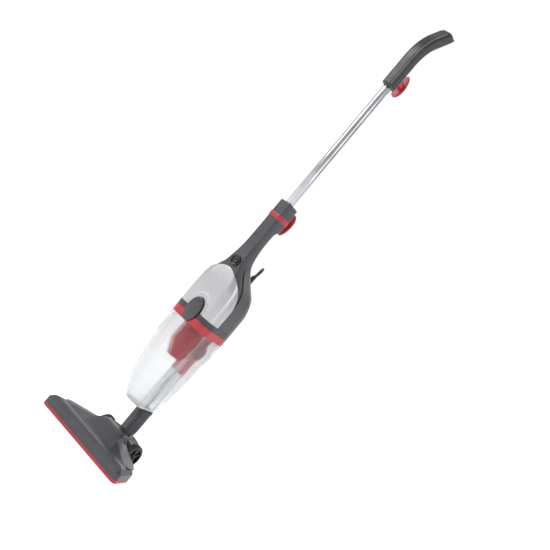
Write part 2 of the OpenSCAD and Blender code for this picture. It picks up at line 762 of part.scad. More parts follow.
// ================= Cord =================
cord_r = cord_d / 2;
cord_exit = relief_foot + relief_length * [0, sin(relief_lean), cos(relief_lean)];
coil_x = -62;
coil_y = 166;
coil_in = 4 * cord_d;
coil_rows = 5;
coil_layers = 4;
coil_out = coil_in + (coil_rows - 1) * cord_d;
coil_h = coil_layers * cord_d;

route = [cord_exit, [0, 83, 489.8], [-2, 88.5, 498], [-6, 95.5, 503.8], [-11, 103.5, 506], [-17, 112, 503.2],
    [-22, 118.5, 495.5], [-25, 122, 484], [-26, 123, 468], [-26, 123, 430], [-26, 122, 350],
    [-26, 122, 250], [-26, 122, 150], [-26, 122, 80], [-25, 123, 54], [-22, 127, 38], [-18, 136, 28]];

// Points of a smooth curve through the route, three for each stretch
function curve(p) = [for (i = [0:len(p) - 2]) for (u = [0, 1 / 3, 2 / 3])
    let (a = p[max(i - 1, 0)], b = p[i], c = p[i + 1], d = p[min(i + 2, len(p) - 1)])
    0.5 * (2 * b + (c - a) * u + (2 * a - 5 * b + 4 * c - d) * u * u
        + (3 * b - a - 3 * c + d) * u * u * u)];
function heading(p, i) = unit(p[min(i + 1, len(p) - 1)] - p[max(i - 1, 0)]);
function normals(p, i, last) = i >= len(p) ? []
    : let (t = heading(p, i), n = unit(last - t * (last * t))) concat([n], normals(p, i + 1, n));

module sweep(p, r, first) {
    n = normals(p, 0, first);
    loft([for (i = [0:len(p) - 1]) let (side = cross(heading(p, i), n[i]))
        [for (k = [0:7]) p[i] + r * (cos(k * 45) * n[i] + sin(k * 45) * side)]]);
}

module cord() {
    path = concat(curve(route), [route[len(route) - 1]]);
    color(black) sweep(path, cord_r, [1, 0, 0]);
}

module cord_coil() {
    color(black) translate([coil_x, coil_y, 0]) rotate_extrude($fn = 64)
        translate([coil_in - cord_r, 0]) square([coil_out - coil_in + cord_d, coil_h]);
}

module cord_tail() {
    y = coil_y + coil_out + cord_d + 0.6;
    color(black) along_x(coil_x - 34, y, cord_r, cord_r, 34);
}

module cord_tie() {
    a = 200;
    inner = coil_in - cord_r;
    outer = coil_out + cord_r;
    color("#2b2b2b") translate([coil_x, coil_y, 0]) rotate([0, 0, a]) translate([0, -4, 0]) difference() {
        translate([inner - 1.7, 0, 0]) cube([outer - inner + 2.9, 8, coil_h + 1.4]);
        translate([inner - 0.5, -1, -1]) cube([outer - inner + 0.5, 10, coil_h + 1]);
    }
}

plug_x = coil_x - 34;

module plug_body() {
    y = coil_y + coil_out + cord_d + 0.6;
    color(black) {
        translate([plug_x - 12, y, 6]) rotate([0, 90, 0]) cylinder(r1 = 6, r2 = 4.2, h = 12);
        translate([plug_x - 40, y - 9, 0]) cube([28, 18, 12]);
    }
}

module plug_pins() {
    y = coil_y + coil_out + cord_d + 0.6;
    color(steel) for (d = [-5, 5]) along_x(plug_x - 59, y + d, 6, 2, 19);
}

head_cover();
head_housing();
sole_plate();
edge_trim();
lint_pads();
throat_duct();
axle_left();
axle_right();
sole_screws();
wheel_hub_left();
wheel_hub_right();
tyre_left();
tyre_right();
neck_tube();
neck_seal();
dust_container();
inlet_tube();
rim_gasket();
filter_cup();
intake_hood();
pleated_filter();
filter_gasket();
lower_band();
back_shell();
front_shell();
silver_panel();
release_button();
release_spring();
power_button();
power_bezel();
switch_body();
motor_can();
armature();
impeller();
fan_cover();
motor_cushions();
bearings();
noise_capacitor();
exhaust_grille();
exhaust_foam();
tube_socket();
lower_hook();
shell_screws();
strain_relief();
steel_tube();
grip();
grip_cap();
upper_hook();
hook_pin();
cord();
cord_coil();
cord_tail();
cord_tie();
plug_body();
plug_pins();
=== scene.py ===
"""Upright stick vacuum cleaner: its visible surfaces and finishes.

Lengths inside the classes are millimetres and become metres when a mesh is made. +Z is up,
the front faces -Y, and the origin is on the sole, straight under the steel tube's axis.
"""

import logging
import math
from dataclasses import dataclass
from enum import Enum
from typing import Any, Iterable, Sequence

import bmesh
import bpy
import numpy as np
from mathutils import Matrix, Vector


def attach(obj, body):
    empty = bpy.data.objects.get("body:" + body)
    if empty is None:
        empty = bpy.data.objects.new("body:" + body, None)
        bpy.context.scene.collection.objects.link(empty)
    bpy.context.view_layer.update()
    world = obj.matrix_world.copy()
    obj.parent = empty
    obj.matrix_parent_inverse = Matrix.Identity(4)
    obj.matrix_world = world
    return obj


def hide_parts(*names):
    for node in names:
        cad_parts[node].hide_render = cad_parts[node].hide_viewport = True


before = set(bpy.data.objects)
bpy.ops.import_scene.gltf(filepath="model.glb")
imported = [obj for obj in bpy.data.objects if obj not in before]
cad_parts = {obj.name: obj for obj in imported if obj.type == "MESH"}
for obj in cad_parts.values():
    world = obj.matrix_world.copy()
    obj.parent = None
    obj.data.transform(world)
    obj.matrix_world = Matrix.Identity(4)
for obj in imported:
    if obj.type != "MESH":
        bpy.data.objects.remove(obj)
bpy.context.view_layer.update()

LOG = logging.getLogger("stick_vacuum")
MM = 0.001
Point = Sequence[float]
Ring = list[tuple[float, float, float]]


class Body(Enum):
    """The moving bodies that pieces ride on."""

    HAND = "hand_unit"
    RELEASE = "release"
    POWER = "power"
    CONTAINER = "container"
    NECK = "neck"
    HEAD = "floor_head"
    WHEEL_LEFT = "wheel_left"
    WHEEL_RIGHT = "wheel_right"
    HANDLE = "handle"
    CORD_HOOK = "cord_hook"


class Side(Enum):
    """Which side of the floor head a wheel is on."""

    LEFT = "left"
    RIGHT = "right"


# ---------------------------------------------------------------- node trees


def srgb(code: str) -> tuple[float, float, float, float]:
    """Turns an sRGB hex colour into linear red, green, blue and alpha.

    Args:
        code: the colour as "#rrggbb".

    Returns:
        The linear colour with alpha 1.
    """
    parts = [int(code[i : i + 2], 16) / 255 for i in (1, 3, 5)]
    r, g, b = (p / 12.92 if p <= 0.04045 else ((p + 0.055) / 1.055) ** 2.4 for p in parts)
    return (r, g, b, 1.0)


def add_node(tree: Any, kind: str, settings: dict | None = None, links: dict | None = None) -> Any:
    """Adds a node, sets it and links its inputs.

    Args:
        tree: the node tree.
        kind: the node's type name.
        settings: attributes or input values, by name, or by number for an input.
        links: the output socket that feeds each input, by name or number.

    Returns:
        The new node.
    """
    node = tree.nodes.new(kind)
    late = []
    for key, value in (settings or {}).items():
        if isinstance(key, str) and hasattr(node, key):
            setattr(node, key, value)
        else:
            late.append((key, value))
    for key, value in late:
        node.inputs[key].default_value = value
    for key, socket in (links or {}).items():
        tree.links.new(socket, node.inputs[key])
    return node


def per_metre(size_mm: float) -> float:
    """Texture scale for a pattern whose features repeat every size_mm."""
    return 1000.0 / size_mm


class Coating:
    """Node tree of one finish: a principled shader with helpers for grain, tint and relief."""

    def __init__(self, name: str) -> None:
        """Makes the material and its shader."""
        self.material = bpy.data.materials.new(name)
        self.material.use_nodes = True
        self.tree = self.material.node_tree
        self.tree.nodes.clear()
        self.shader = add_node(self.tree, "ShaderNodeBsdfPrincipled")
        add_node(self.tree, "ShaderNodeOutputMaterial", None, {"Surface": self.shader.outputs["BSDF"]})
        self.place = add_node(self.tree, "ShaderNodeTexCoord").outputs["Object"]

    def base(self, **values: Any) -> None:
        """Sets constant values on the shader's own sockets; underscores stand for spaces."""
        for key, value in values.items():
            self.shader.inputs[key.replace("_", " ")].default_value = value

    def grain(self, size_mm: float, stretch: Point = (1, 1, 1), detail: float = 3.0) -> Any:
        """Noise with features of a real size.

        Args:
            size_mm: size of a feature.
            stretch: scale along X, Y and Z; below 1 draws the noise out that way.
            detail: octaves of the noise.

        Returns:
            The noise's value socket.
        """
        spot = add_node(self.tree, "ShaderNodeMapping", {"Scale": tuple(stretch)}, {"Vector": self.place})
        noise = add_node(
            self.tree,
            "ShaderNodeTexNoise",
            {"Scale": per_metre(size_mm), "Detail": detail, "Roughness": 0.55},
            {"Vector": spot.outputs["Vector"]},
        )
        return noise.outputs["Fac"]

    def cells(self, size_mm: float) -> Any:
        """Cell pattern with cells of a real size, as its distance socket."""
        return add_node(
            self.tree,
            "ShaderNodeTexVoronoi",
            {"feature": "F1", "Scale": per_metre(size_mm)},
            {"Vector": self.place},
        ).outputs["Distance"]

    def spread(self, value: Any, low: float, high: float, start: float = 0.3, end: float = 0.7) -> Any:
        """Maps a value from start..end to low..high."""
        return add_node(
            self.tree,
            "ShaderNodeMapRange",
            {"From Min": start, "From Max": end, "To Min": low, "To Max": high},
            {"Value": value},
        ).outputs["Result"]

    def tint(self, value: Any, first: str, second: str) -> None:
        """Colours the surface between two close colours as value goes through its middle range."""
        ramp = add_node(self.tree, "ShaderNodeValToRGB", None, {"Fac": value})
        ramp.color_ramp.elements[0].position = 0.32
        ramp.color_ramp.elements[1].position = 0.68
        ramp.color_ramp.elements[0].color = srgb(first)
        ramp.color_ramp.elements[1].color = srgb(second)
        self.tree.links.new(ramp.outputs["Color"], self.shader.inputs["Base Color"])

    def feed(self, name: str, value: Any) -> None:
        """Feeds one of the shader's inputs."""
        self.tree.links.new(value, self.shader.inputs[name])

    def bump(self, value: Any, depth_mm: float) -> None:
        """Adds relief of a real depth."""
        settings = {"Strength": 1.0, "Distance": depth_mm * MM}
        node = add_node(self.tree, "ShaderNodeBump", settings, {"Height": value})
        self.feed("Normal", node.outputs["Normal"])


# ---------------------------------------------------------------- finishes


@dataclass(frozen=True)
class MouldedAbs:
    """Injection-moulded ABS with a fine spark-eroded texture: soft broad highlights, faint mottling."""

    name: str
    shade: str
    light: str
    roughness: float = 0.42
    grain_mm: float = 0.7
    depth_mm: float = 0.012
    coat: float = 0.0

    def make(self) -> bpy.types.Material:
        """Builds the material."""
        skin = Coating(self.name)
        skin.base(IOR=1.53, Coat_Weight=self.coat, Coat_Roughness=0.12)
        skin.tint(skin.grain(22.0), self.shade, self.light)
        skin.feed("Roughness", skin.spread(skin.grain(9.0), self.roughness - 0.05, self.roughness + 0.05))
        # The real texture is about 0.1 mm; it is drawn coarser so that it shows.
        skin.bump(skin.grain(self.grain_mm, detail=4.0), self.depth_mm)
        return skin.material


@dataclass(frozen=True)
class SatinSilver:
    """Silver lacquer over ABS: small metal flakes under a satin clear coat."""

    name: str = "satin_silver_lacquer"
    shade: str = "#adadaf"
    light: str = "#c4c4c6"
    flake_mm: float = 0.9

    def make(self) -> bpy.types.Material:
        """Builds the material."""
        skin = Coating(self.name)
        skin.base(Metallic=0.7, Coat_Weight=0.3, Coat_Roughness=0.15)
        skin.tint(skin.grain(self.flake_mm, detail=5.0), self.shade, self.light)
        skin.feed("Roughness", skin.spread(skin.cells(self.flake_mm), 0.26, 0.36, 0.1, 0.8))
        skin.bump(skin.cells(self.flake_mm), 0.006)
        return skin.material


@dataclass(frozen=True)
class PolishedSteel:
    """Chromed or turned steel; polishing leaves hair lines drawn out one way."""

    name: str
    shade: str = "#b4b5b8"
    light: str = "#c8c9cb"
    roughness: float = 0.2
    stretch: tuple[float, float, float] = (1.0, 1.0, 0.02)
    line_mm: float = 0.6

    def make(self) -> bpy.types.Material:
        """Builds the material."""
        skin = Coating(self.name)
        skin.base(Metallic=1.0)
        lines = skin.grain(self.line_mm, self.stretch, 4.0)
        skin.tint(skin.grain(30.0), self.shade, self.light)
        skin.feed("Roughness", skin.spread(lines, self.roughness - 0.02, self.roughness + 0.03))
        skin.bump(lines, 0.00008)
        return skin.material


@dataclass(frozen=True)
class ClearPolycarbonate:
    """Clear moulded plastic, slightly smoky, with faint flow ripples and rub marks."""

    name: str = "clear_polycarbonate"
    colour: str = "#dcdee0"
    second: str = "#e5e7e8"

    def make(self) -> bpy.types.Material:
        """Builds the material."""
        skin = Coating(self.name)
        skin.base(Transmission_Weight=1.0, IOR=1.2, Alpha=0.72, Coat_Weight=0.4, Coat_Roughness=0.03)
        skin.tint(skin.grain(40.0), self.colour, self.second)
        skin.feed("Roughness", skin.spread(skin.grain(14.0, (1, 1, 0.4)), 0.0, 0.03))
        skin.bump(skin.grain(26.0, (1, 1, 0.3), 1.0), 0.05)
        return skin.material


@dataclass(frozen=True)
class SoftRubber:
    """Soft PVC or rubber: dull, with a fine pitted skin."""

    name: str
    shade: str = "#191a1b"
    light: str = "#242526"
    roughness: float = 0.55
    pit_mm: float = 0.9

    def make(self) -> bpy.types.Material:
        """Builds the material."""
        skin = Coating(self.name)
        skin.base(IOR=1.5, Sheen_Weight=0.08)
        skin.tint(skin.grain(12.0), self.shade, self.light)
        skin.feed("Roughness", skin.spread(skin.grain(5.0), self.roughness - 0.07, self.roughness + 0.08))
        skin.bump(skin.grain(self.pit_mm, detail=4.0), 0.05)
        return skin.material


@dataclass(frozen=True)
class Fibrous:
    """Pressed or tufted fibres: lint pile, pleated paper and open foam."""

    name: str
    shade: str
    light: str
    fibre_mm: float
    depth_mm: float
    sheen: float = 0.0
    stretch: tuple[float, float, float] = (1.0, 1.0, 1.0)

    def make(self) -> bpy.types.Material:
        """Builds the material."""
        skin = Coating(self.name)
        skin.base(IOR=1.45, Sheen_Weight=self.sheen, Sheen_Roughness=0.4)
        fibres = skin.grain(self.fibre_mm, self.stretch, 5.0)
        skin.tint(fibres, self.shade, self.light)
        skin.feed("Roughness", skin.spread(fibres, 0.78, 0.95))
        skin.bump(fibres, self.depth_mm)
        return skin.material


@dataclass(frozen=True)
class WoundCopper:
    """Enamelled copper wire in tight turns over laminated iron."""

    name: str = "enamelled_copper_wire"
    shade: str = "#6b3a1c"
    light: str = "#b5703c"
    wire_mm: float = 1.2

    def make(self) -> bpy.types.Material:
        """Builds the material."""
        skin = Coating(self.name)
        skin.base(Metallic=0.8)
        turns = add_node(
            skin.tree,
            "ShaderNodeTexWave",
            {"bands_direction": "Z", "Scale": per_metre(self.wire_mm) / 20, "Distortion": 0.6},
            {"Vector": skin.place},
        ).outputs["Fac"]
        skin.tint(turns, self.shade, self.light)
        skin.feed("Roughness", skin.spread(skin.grain(3.0), 0.3, 0.45))
        skin.bump(turns, 0.2)
        return skin.material


@dataclass(frozen=True)
class StudioFloor:
    """Matt white studio sweep with a trace of unevenness."""

    name: str = "studio_floor"

    def make(self) -> bpy.types.Material:
        """Builds the material."""
        skin = Coating(self.name)
        skin.base(Specular_IOR_Level=0.1, Emission_Color=(1.0, 1.0, 1.0, 1.0), Emission_Strength=0.5)
        skin.tint(skin.grain(400.0), "#f4f4f4", "#f7f7f7")
        skin.feed("Roughness", skin.spread(skin.grain(60.0), 0.85, 0.95))
        return skin.material


CHARCOAL = MouldedAbs("charcoal_abs", "#393a3e", "#404145", 0.38)
GRIP_CHARCOAL = MouldedAbs("grip_charcoal_abs", "#1f2023", "#26272a", 0.34, 1.4, 0.001)
# Light grey for the grip's raised corner lines: a painted highlight on what is the same charcoal plastic.
GRIP_HIGHLIGHT_LINE = MouldedAbs("grip_line_painted_highlight_abs", "#6c6d71", "#77787b", 0.3, 1.4, 0.001)
DARK = MouldedAbs("dark_abs", "#303135", "#37383c", 0.36)
BUTTON_DARK = MouldedAbs("button_abs", "#36363a", "#3e3e42", 0.3, 1.1, 0.004, 0.25)
RED = MouldedAbs("red_abs", "#9d1c28", "#ab2431", 0.38, 2.0, 0.0008, 0.1)
BLACK = MouldedAbs("black_abs", "#0c0d0e", "#131416", 0.3, 0.8, 0.01)
SEAL = SoftRubber("seal_rubber")
TYRE = SoftRubber("tyre_rubber", "#1f2022", "#2c2d2f", 0.62, 1.1)
CABLE = SoftRubber("cable_pvc", "#141415", "#1d1d1f", 0.42, 1.4)
SILVER = SatinSilver()
TUBE = PolishedSteel("polished_steel_tube")
STEEL = PolishedSteel("turned_steel", "#9b9da0", "#c2c4c7", 0.3, (1.0, 1.0, 1.0), 0.5)
BLUED = PolishedSteel("blued_steel", "#232426", "#2e2f31", 0.4, (1.0, 1.0, 1.0), 0.5)
ALLOY = PolishedSteel("cast_alloy", "#a9abae", "#c9cbce", 0.42, (1.0, 1.0, 1.0), 1.5)
BRASS = PolishedSteel("nickelled_brass", "#b9b6a8", "#d8d5c8", 0.2, (0.05, 1.0, 1.0), 0.4)
CLEAR = ClearPolycarbonate()
# Same red plastic as the hooks, made brighter to paint back the light that the clear container takes off the
# cup and hood inside it.
RED_CUP_PAINTED_LIGHT = MouldedAbs("red_cup_abs_painted_light", "#a61d2a", "#b32533", 0.36, 2.0, 0.0008, 0.1)
LINT = Fibrous("lint_pile", "#6f131c", "#a02430", 0.8, 0.5, 0.6)
STRAP = Fibrous("strap_hook_and_loop", "#1b1b1c", "#2c2c2e", 0.9, 0.3, 0.3)
PAPER = Fibrous("filter_paper", "#dcd6c6", "#eeeade", 1.0, 0.08, 0.1, (1.0, 1.0, 0.3))
FOAM = Fibrous("open_foam", "#1d1d1e", "#343436", 1.4, 0.6)
COPPER = WoundCopper()
MYLAR = MouldedAbs("capacitor_film", "#b28a1e", "#c9a227", 0.3)
FLOOR = StudioFloor()

_made: dict[str, bpy.types.Material] = {}


def dress(obj: bpy.types.Object, finish: Any) -> None:
    """Gives an object one finish, made once and shared.

    Args:
        obj: the piece or CAD node.
        finish: any of the finishes above.
    """
    if finish.name not in _made:
        _made[finish.name] = finish.make()
    obj.data.materials.clear()
    obj.data.materials.append(_made[finish.name])


# ---------------------------------------------------------------- meshes


def mesh_object(name: str, points: Iterable[Point], faces: Iterable[Sequence[int]]) -> bpy.types.Object:
    """Makes an object at the origin from points in millimetres.

    Args:
        name: the object's name.
        points: corner points.
        faces: corner numbers of each face, counter-clockwise from outside.

    Returns:
        The linked object, shaded smooth.
    """
    mesh = bpy.data.meshes.new(name)
    mesh.from_pydata([(p[0] * MM, p[1] * MM, p[2] * MM) for p in points], [], [list(f) for f in faces])
    mesh.validate()
    mesh.shade_smooth()
    obj = bpy.data.objects.new(name, mesh)
    bpy.context.scene.collection.objects.link(obj)
    return obj


def settle(obj: bpy.types.Object) -> bpy.types.Object:
    """Turns an object's modifiers into plain mesh and removes them."""
    graph = bpy.context.evaluated_depsgraph_get()
    mesh = bpy.data.meshes.new_from_object(
        obj.evaluated_get(graph), preserve_all_data_layers=True, depsgraph=graph
    )
    obj.modifiers.clear()
    obj.data = mesh
    return obj


def face_out(obj: bpy.types.Object) -> bpy.types.Object:
    """Merges doubles and turns every face of a closed solid outwards."""
    work = bmesh.new()
    work.from_mesh(obj.data)
    bmesh.ops.remove_doubles(work, verts=work.verts, dist=1e-6)
    bmesh.ops.recalc_face_normals(work, faces=work.faces)
    work.to_mesh(obj.data)
    work.free()
    return obj


def strips(count: int, levels: int, base: int = 0, closed: bool = True, inward: bool = False) -> list:
    """Side faces through a stack of outlines that run counter-clockwise and go up.

    Args:
        count: points in each outline.
        levels: number of outlines.
        base: number of the first point.
        closed: whether each outline joins its own start.
        inward: turns the faces to the inside.

    Returns:
        The faces.
    """
    faces = []
    for k in range(levels - 1):
        for i in range(count if closed else count - 1):
            j = (i + 1) % count
            a, b = base + k * count + i, base + k * count + j
            quad = [a, b, b + count, a + count]
            faces.append(quad[::-1] if inward else quad)
    return faces


def loft(name: str, rings: Sequence[Ring]) -> bpy.types.Object:
    """Solid through a stack of closed outlines, with its ends closed."""
    count, levels = len(rings[0]), len(rings)
    faces = strips(count, levels)
    faces.append(list(range(count))[::-1])
    faces.append([(levels - 1) * count + i for i in range(count)])
    return face_out(mesh_object(name, [p for r in rings for p in r], faces))


def wall(
    name: str,
    outer: Sequence[Ring],
    inner: Sequence[Ring],
    closed: bool = True,
    floor: bool = False,
    roof: bool = False,
) -> bpy.types.Object:
    """Wall between two stacks of outlines.

    Args:
        name: the object's name.
        outer: outlines of the outside, from the bottom up.
        inner: outlines of the inside, as many as outer.
        closed: false for an outline that covers only part of the way round.
        floor: closes the bottom as a cup does.
        roof: closes the top as a cover does.

    Returns:
        The object.
    """
    count, levels = len(outer[0]), len(outer)
    shift, top = count * levels, (levels - 1) * count
    faces = strips(count, levels, 0, closed) + strips(count, levels, shift, closed, True)
    for start, capped, up in ((0, floor, False), (top, roof, True)):
        if capped:
            cap = [start + i for i in range(count)]
            faces += [cap if up else cap[::-1], [shift + i for i in (cap[::-1] if up else cap)]]
            continue
        for i in range(count if closed else count - 1):
            j = (i + 1) % count
            quad = [start + i, start + j, shift + start + j, shift + start + i]
            faces.append(quad if up else quad[::-1])
    if not closed:
        for k in range(levels - 1):
            a, b = k * count, k * count + count - 1
            faces.append([a, a + count, shift + a + count, shift + a])
            faces.append([b, shift + b, shift + b + count, b + count])
    return mesh_object(name, [p for r in list(outer) + list(inner) for p in r], faces)


def turned(
    name: str, profile: Sequence[tuple[float, float]], place: Matrix, steps: int = 64
) -> bpy.types.Object:
    """Closed solid of revolution about its own Z axis, then put in place.

    Args:
        name: the object's name.
        profile: radius and height of each point round the section; a full loop, or from axis to axis.
        place: where the axis goes, in millimetres.
        steps: faces round the axis.

    Returns:
        The object.
    """
    points, faces, index = [], [], []
    for r, z in profile:
        if r < 1e-6:
            index.append([len(points)] * steps)
            points.append(place @ Vector((0, 0, z)))
            continue
        index.append(list(range(len(points), len(points) + steps)))
        for s in range(steps):
            a = 2 * math.pi * s / steps
            points.append(place @ Vector((r * math.cos(a), r * math.sin(a), z)))
    loop = list(range(len(profile)))
    last = len(loop) if profile[0][0] > 1e-6 else len(loop) - 1
    for k in range(last):
        lower, upper = index[loop[k]], index[loop[(k + 1) % len(loop)]]
        for s in range(steps):
            t = (s + 1) % steps
            corners = [lower[s], lower[t], upper[t], upper[s]]
            faces.append(list(dict.fromkeys(corners)))
    return face_out(mesh_object(name, points, [f for f in faces if len(f) > 2]))


def at(x: float, y: float, z: float, turn: Matrix | None = None) -> Matrix:
    """Place with an optional turn, in millimetres."""
    return Matrix.Translation((x, y, z)) @ (turn or Matrix.Identity(4))


TO_X = Matrix.Rotation(math.pi / 2, 4, "Y")
TO_MINUS_X = Matrix.Rotation(-math.pi / 2, 4, "Y")
TO_Y = Matrix.Rotation(-math.pi / 2, 4, "X")


def rod(name: str, r: float, low: float, high: float, place: Matrix, steps: int = 64) -> bpy.types.Object:
    """Plain cylinder along its own Z axis from low to high, then put in place."""
    return turned(name, [(0, low), (r, low), (r, high), (0, high)], place, steps)


def block(name: str, low: Point, high: Point) -> bpy.types.Object:
    """Plain box used as a cutter or a joined lug."""
    x, y, z = zip(low, high)
    rings = [[(x[0], y[0], h), (x[1], y[0], h), (x[1], y[1], h), (x[0], y[1], h)] for h in z]
    return loft(name, rings)


def combine(obj: bpy.types.Object, others: Sequence[bpy.types.Object], how: str) -> bpy.types.Object:
    """Cuts, joins or keeps the overlap with other solids, which are used up.

    Args:
        obj: the solid to change.
        others: the other solids.
        how: "DIFFERENCE", "UNION" or "INTERSECT".

    Returns:
        The same object.
    """
    for other in others:
        step = obj.modifiers.new("combine", "BOOLEAN")
        step.operation, step.object, step.solver = how, other, "EXACT"
    settle(obj)
    for other in others:
        bpy.data.objects.remove(other)
    return obj


def soften(obj: bpy.types.Object, width: float, segments: int = 2, angle: float = 32.0) -> bpy.types.Object:
    """Rounds the sharp edges of a solid and evens the shading of its faces.

    Args:
        obj: the object.
        width: width of the rounding in millimetres.
        segments: faces across it.
        angle: edges sharper than this, in degrees, are rounded.

    Returns:
        The same object.
    """
    obj.data.shade_smooth()
    edge = obj.modifiers.new("edges", "BEVEL")
    edge.width, edge.segments, edge.limit_method = width * MM, segments, "ANGLE"
    edge.angle_limit, edge.use_clamp_overlap, edge.miter_outer = math.radians(angle), True, "MITER_ARC"
    even = obj.modifiers.new("shading", "WEIGHTED_NORMAL")
    even.keep_sharp, even.weight = True, 60
    return settle(obj)


def crisp(obj: bpy.types.Object, angle: float = 30.0) -> bpy.types.Object:
    """Keeps edges sharper than angle crisp under smooth shading."""
    obj.data.shade_smooth()
    obj.data.set_sharp_from_angle(angle=math.radians(angle))
    return obj


def place_piece(
    obj: bpy.types.Object, body: Body, finish: Any, nodes: Sequence[str] = ()
) -> bpy.types.Object:
    """Dresses a piece, puts it on its body and hides the CAD nodes it stands for."""
    dress(obj, finish)
    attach(obj, body.value)
    if nodes:
        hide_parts(*nodes)
    LOG.info("%s: %d faces on %s", obj.name, len(getattr(obj.data, "polygons", [])), body.value)
    return obj


def place_all(*rows: tuple) -> None:
    """Makes and places pieces; each row has a maker, a body, a finish, a slot and the CAD nodes."""
    for make, body, finish, slot, *nodes in rows:
        place_piece(make(), body, finish, nodes)


# ---------------------------------------------------------------- repeated shapes


class Pattern(Enum):
    """How repeated shapes are laid out."""

    LINE = "line"
    CIRCLE = "circle"


@dataclass(frozen=True)
class Repeater:
    """Geometry Nodes tree that repeats one shape along a line or round a circle."""

    pattern: Pattern
    count: int
    start: tuple[float, float, float] = (0.0, 0.0, 0.0)
    step: tuple[float, float, float] = (0.0, 0.0, 0.0)
    turn: tuple[float, float, float] = (0.0, 0.0, 0.0)
    shrink: float = 0.0

    def _tree(self, name: str, material: bpy.types.Material) -> Any:
        """Builds the tree with its named inputs."""
        tree = bpy.data.node_groups.new(name, "GeometryNodeTree")
        tree.interface.new_socket("Geometry", in_out="INPUT", socket_type="NodeSocketGeometry")
        for label, kind in (
            ("Shape", "NodeSocketObject"),
            ("Count", "NodeSocketInt"),
            ("Start", "NodeSocketVector"),
            ("Step", "NodeSocketVector"),
            ("Shrink", "NodeSocketFloat"),
        ):
            tree.interface.new_socket(label, in_out="INPUT", socket_type=kind)
        tree.interface.new_socket("Geometry", in_out="OUTPUT", socket_type="NodeSocketGeometry")
        put = add_node(tree, "NodeGroupInput").outputs
        shape = add_node(tree, "GeometryNodeObjectInfo", None, {"Object": put["Shape"]}).outputs["Geometry"]
        index = add_node(tree, "GeometryNodeInputIndex").outputs["Index"]
        less = add_node(
            tree, "ShaderNodeMath", {"operation": "MULTIPLY"}, {0: index, 1: put["Shrink"]}
        ).outputs[0]
        size = add_node(tree, "ShaderNodeMath", {"operation": "SUBTRACT", 0: 1.0}, {1: less}).outputs[0]
        if self.pattern is Pattern.LINE:
            points = add_node(
                tree,
                "GeometryNodeMeshLine",
                {"mode": "OFFSET"},
                {"Count": put["Count"], "Start Location": put["Start"], "Offset": put["Step"]},
            ).outputs["Mesh"]
            links = {"Points": points, "Instance": shape, "Scale": size}
        else:
            points = add_node(
                tree, "GeometryNodeMeshCircle", {"Radius": 0.0}, {"Vertices": put["Count"]}
            ).outputs["Mesh"]
            part = add_node(
                tree, "ShaderNodeMath", {"operation": "DIVIDE", 0: 2 * math.pi}, {1: put["Count"]}
            ).outputs[0]
            angle = add_node(
                tree, "ShaderNodeMath", {"operation": "MULTIPLY"}, {0: index, 1: part}
            ).outputs[0]
            spin = add_node(tree, "ShaderNodeCombineXYZ", None, {"Z": angle}).outputs["Vector"]
            links = {"Points": points, "Instance": shape, "Rotation": spin, "Scale": size}
        placed = add_node(tree, "GeometryNodeInstanceOnPoints", None, links).outputs["Instances"]
        real = add_node(tree, "GeometryNodeRealizeInstances", None, {"Geometry": placed}).outputs["Geometry"]
        moved = add_node(
            tree,
            "GeometryNodeTransform",
            {"Rotation": self.turn},
            {"Geometry": real} | ({"Translation": put["Start"]} if self.pattern is Pattern.CIRCLE else {}),
        ).outputs["Geometry"]
        done = add_node(tree, "GeometryNodeSetMaterial", {"Material": material}, {"Geometry": moved})
        add_node(tree, "NodeGroupOutput", None, {"Geometry": done.outputs["Geometry"]})
        return tree

    def make(self, name: str, shape: bpy.types.Object, finish: Any) -> bpy.types.Object:
        """Repeats a shape and returns the result as a plain mesh.

        Args:
            name: name of the new object.
            shape: the shape, made about the origin, which is used up.
            finish: the finish of the result.

        Returns:
            The new object, with its modifier removed.
        """
        obj = mesh_object(name, [(0, 0, 0), (1, 0, 0), (0, 1, 0)], [(0, 1, 2)])
        dress(obj, finish)
        tree = self._tree(name + "_tree", obj.data.materials[0])
        maker = obj.modifiers.new("repeat", "NODES")
        maker.node_group = tree
        values = {
            "Shape": shape,
            "Count": self.count,
            "Start": [v * MM for v in self.start],
            "Step": [v * MM for v in self.step],
            "Shrink": self.shrink,
        }
        for item in tree.interface.items_tree:
            if item.item_type == "SOCKET" and item.in_out == "INPUT" and item.name in values:
                maker[item.identifier] = values[item.name]
        settle(obj)
        bpy.data.objects.remove(shape)
        return obj


# ---------------------------------------------------------------- form of the body


def arc(x: float, y: float, r: float, a0: float, a1: float, z: float, steps: int = 10) -> Ring:
    """Points on a level arc from a0 to a1 degrees."""
    angles = [math.radians(a0 + (a1 - a0) * i / steps) for i in range(steps + 1)]
    return [(x + r * math.cos(a), y + r * math.sin(a), z) for a in angles]


def rounded_box(x: float, y: float, a: float, b: float, r: float, z: float, steps: int = 6) -> Ring:
    """Level rounded rectangle about a centre, with half sizes a and b."""
    return (
        arc(x + a - r, y - b + r, r, 270, 360, z, steps)
        + arc(x + a - r, y + b - r, r, 0, 90, z, steps)
        + arc(x - a + r, y + b - r, r, 90, 180, z, steps)
        + arc(x - a + r, y - b + r, r, 180, 270, z, steps)
    )


def upright_box(a: float, b: float, r: float, z: float, y: float, steps: int = 6) -> Ring:
    """Rounded rectangle that faces -Y at y, centred over the origin at height z."""
    return [(p[0], y, z + p[1]) for p in rounded_box(0, 0, a, b, r, 0, steps)][::-1]


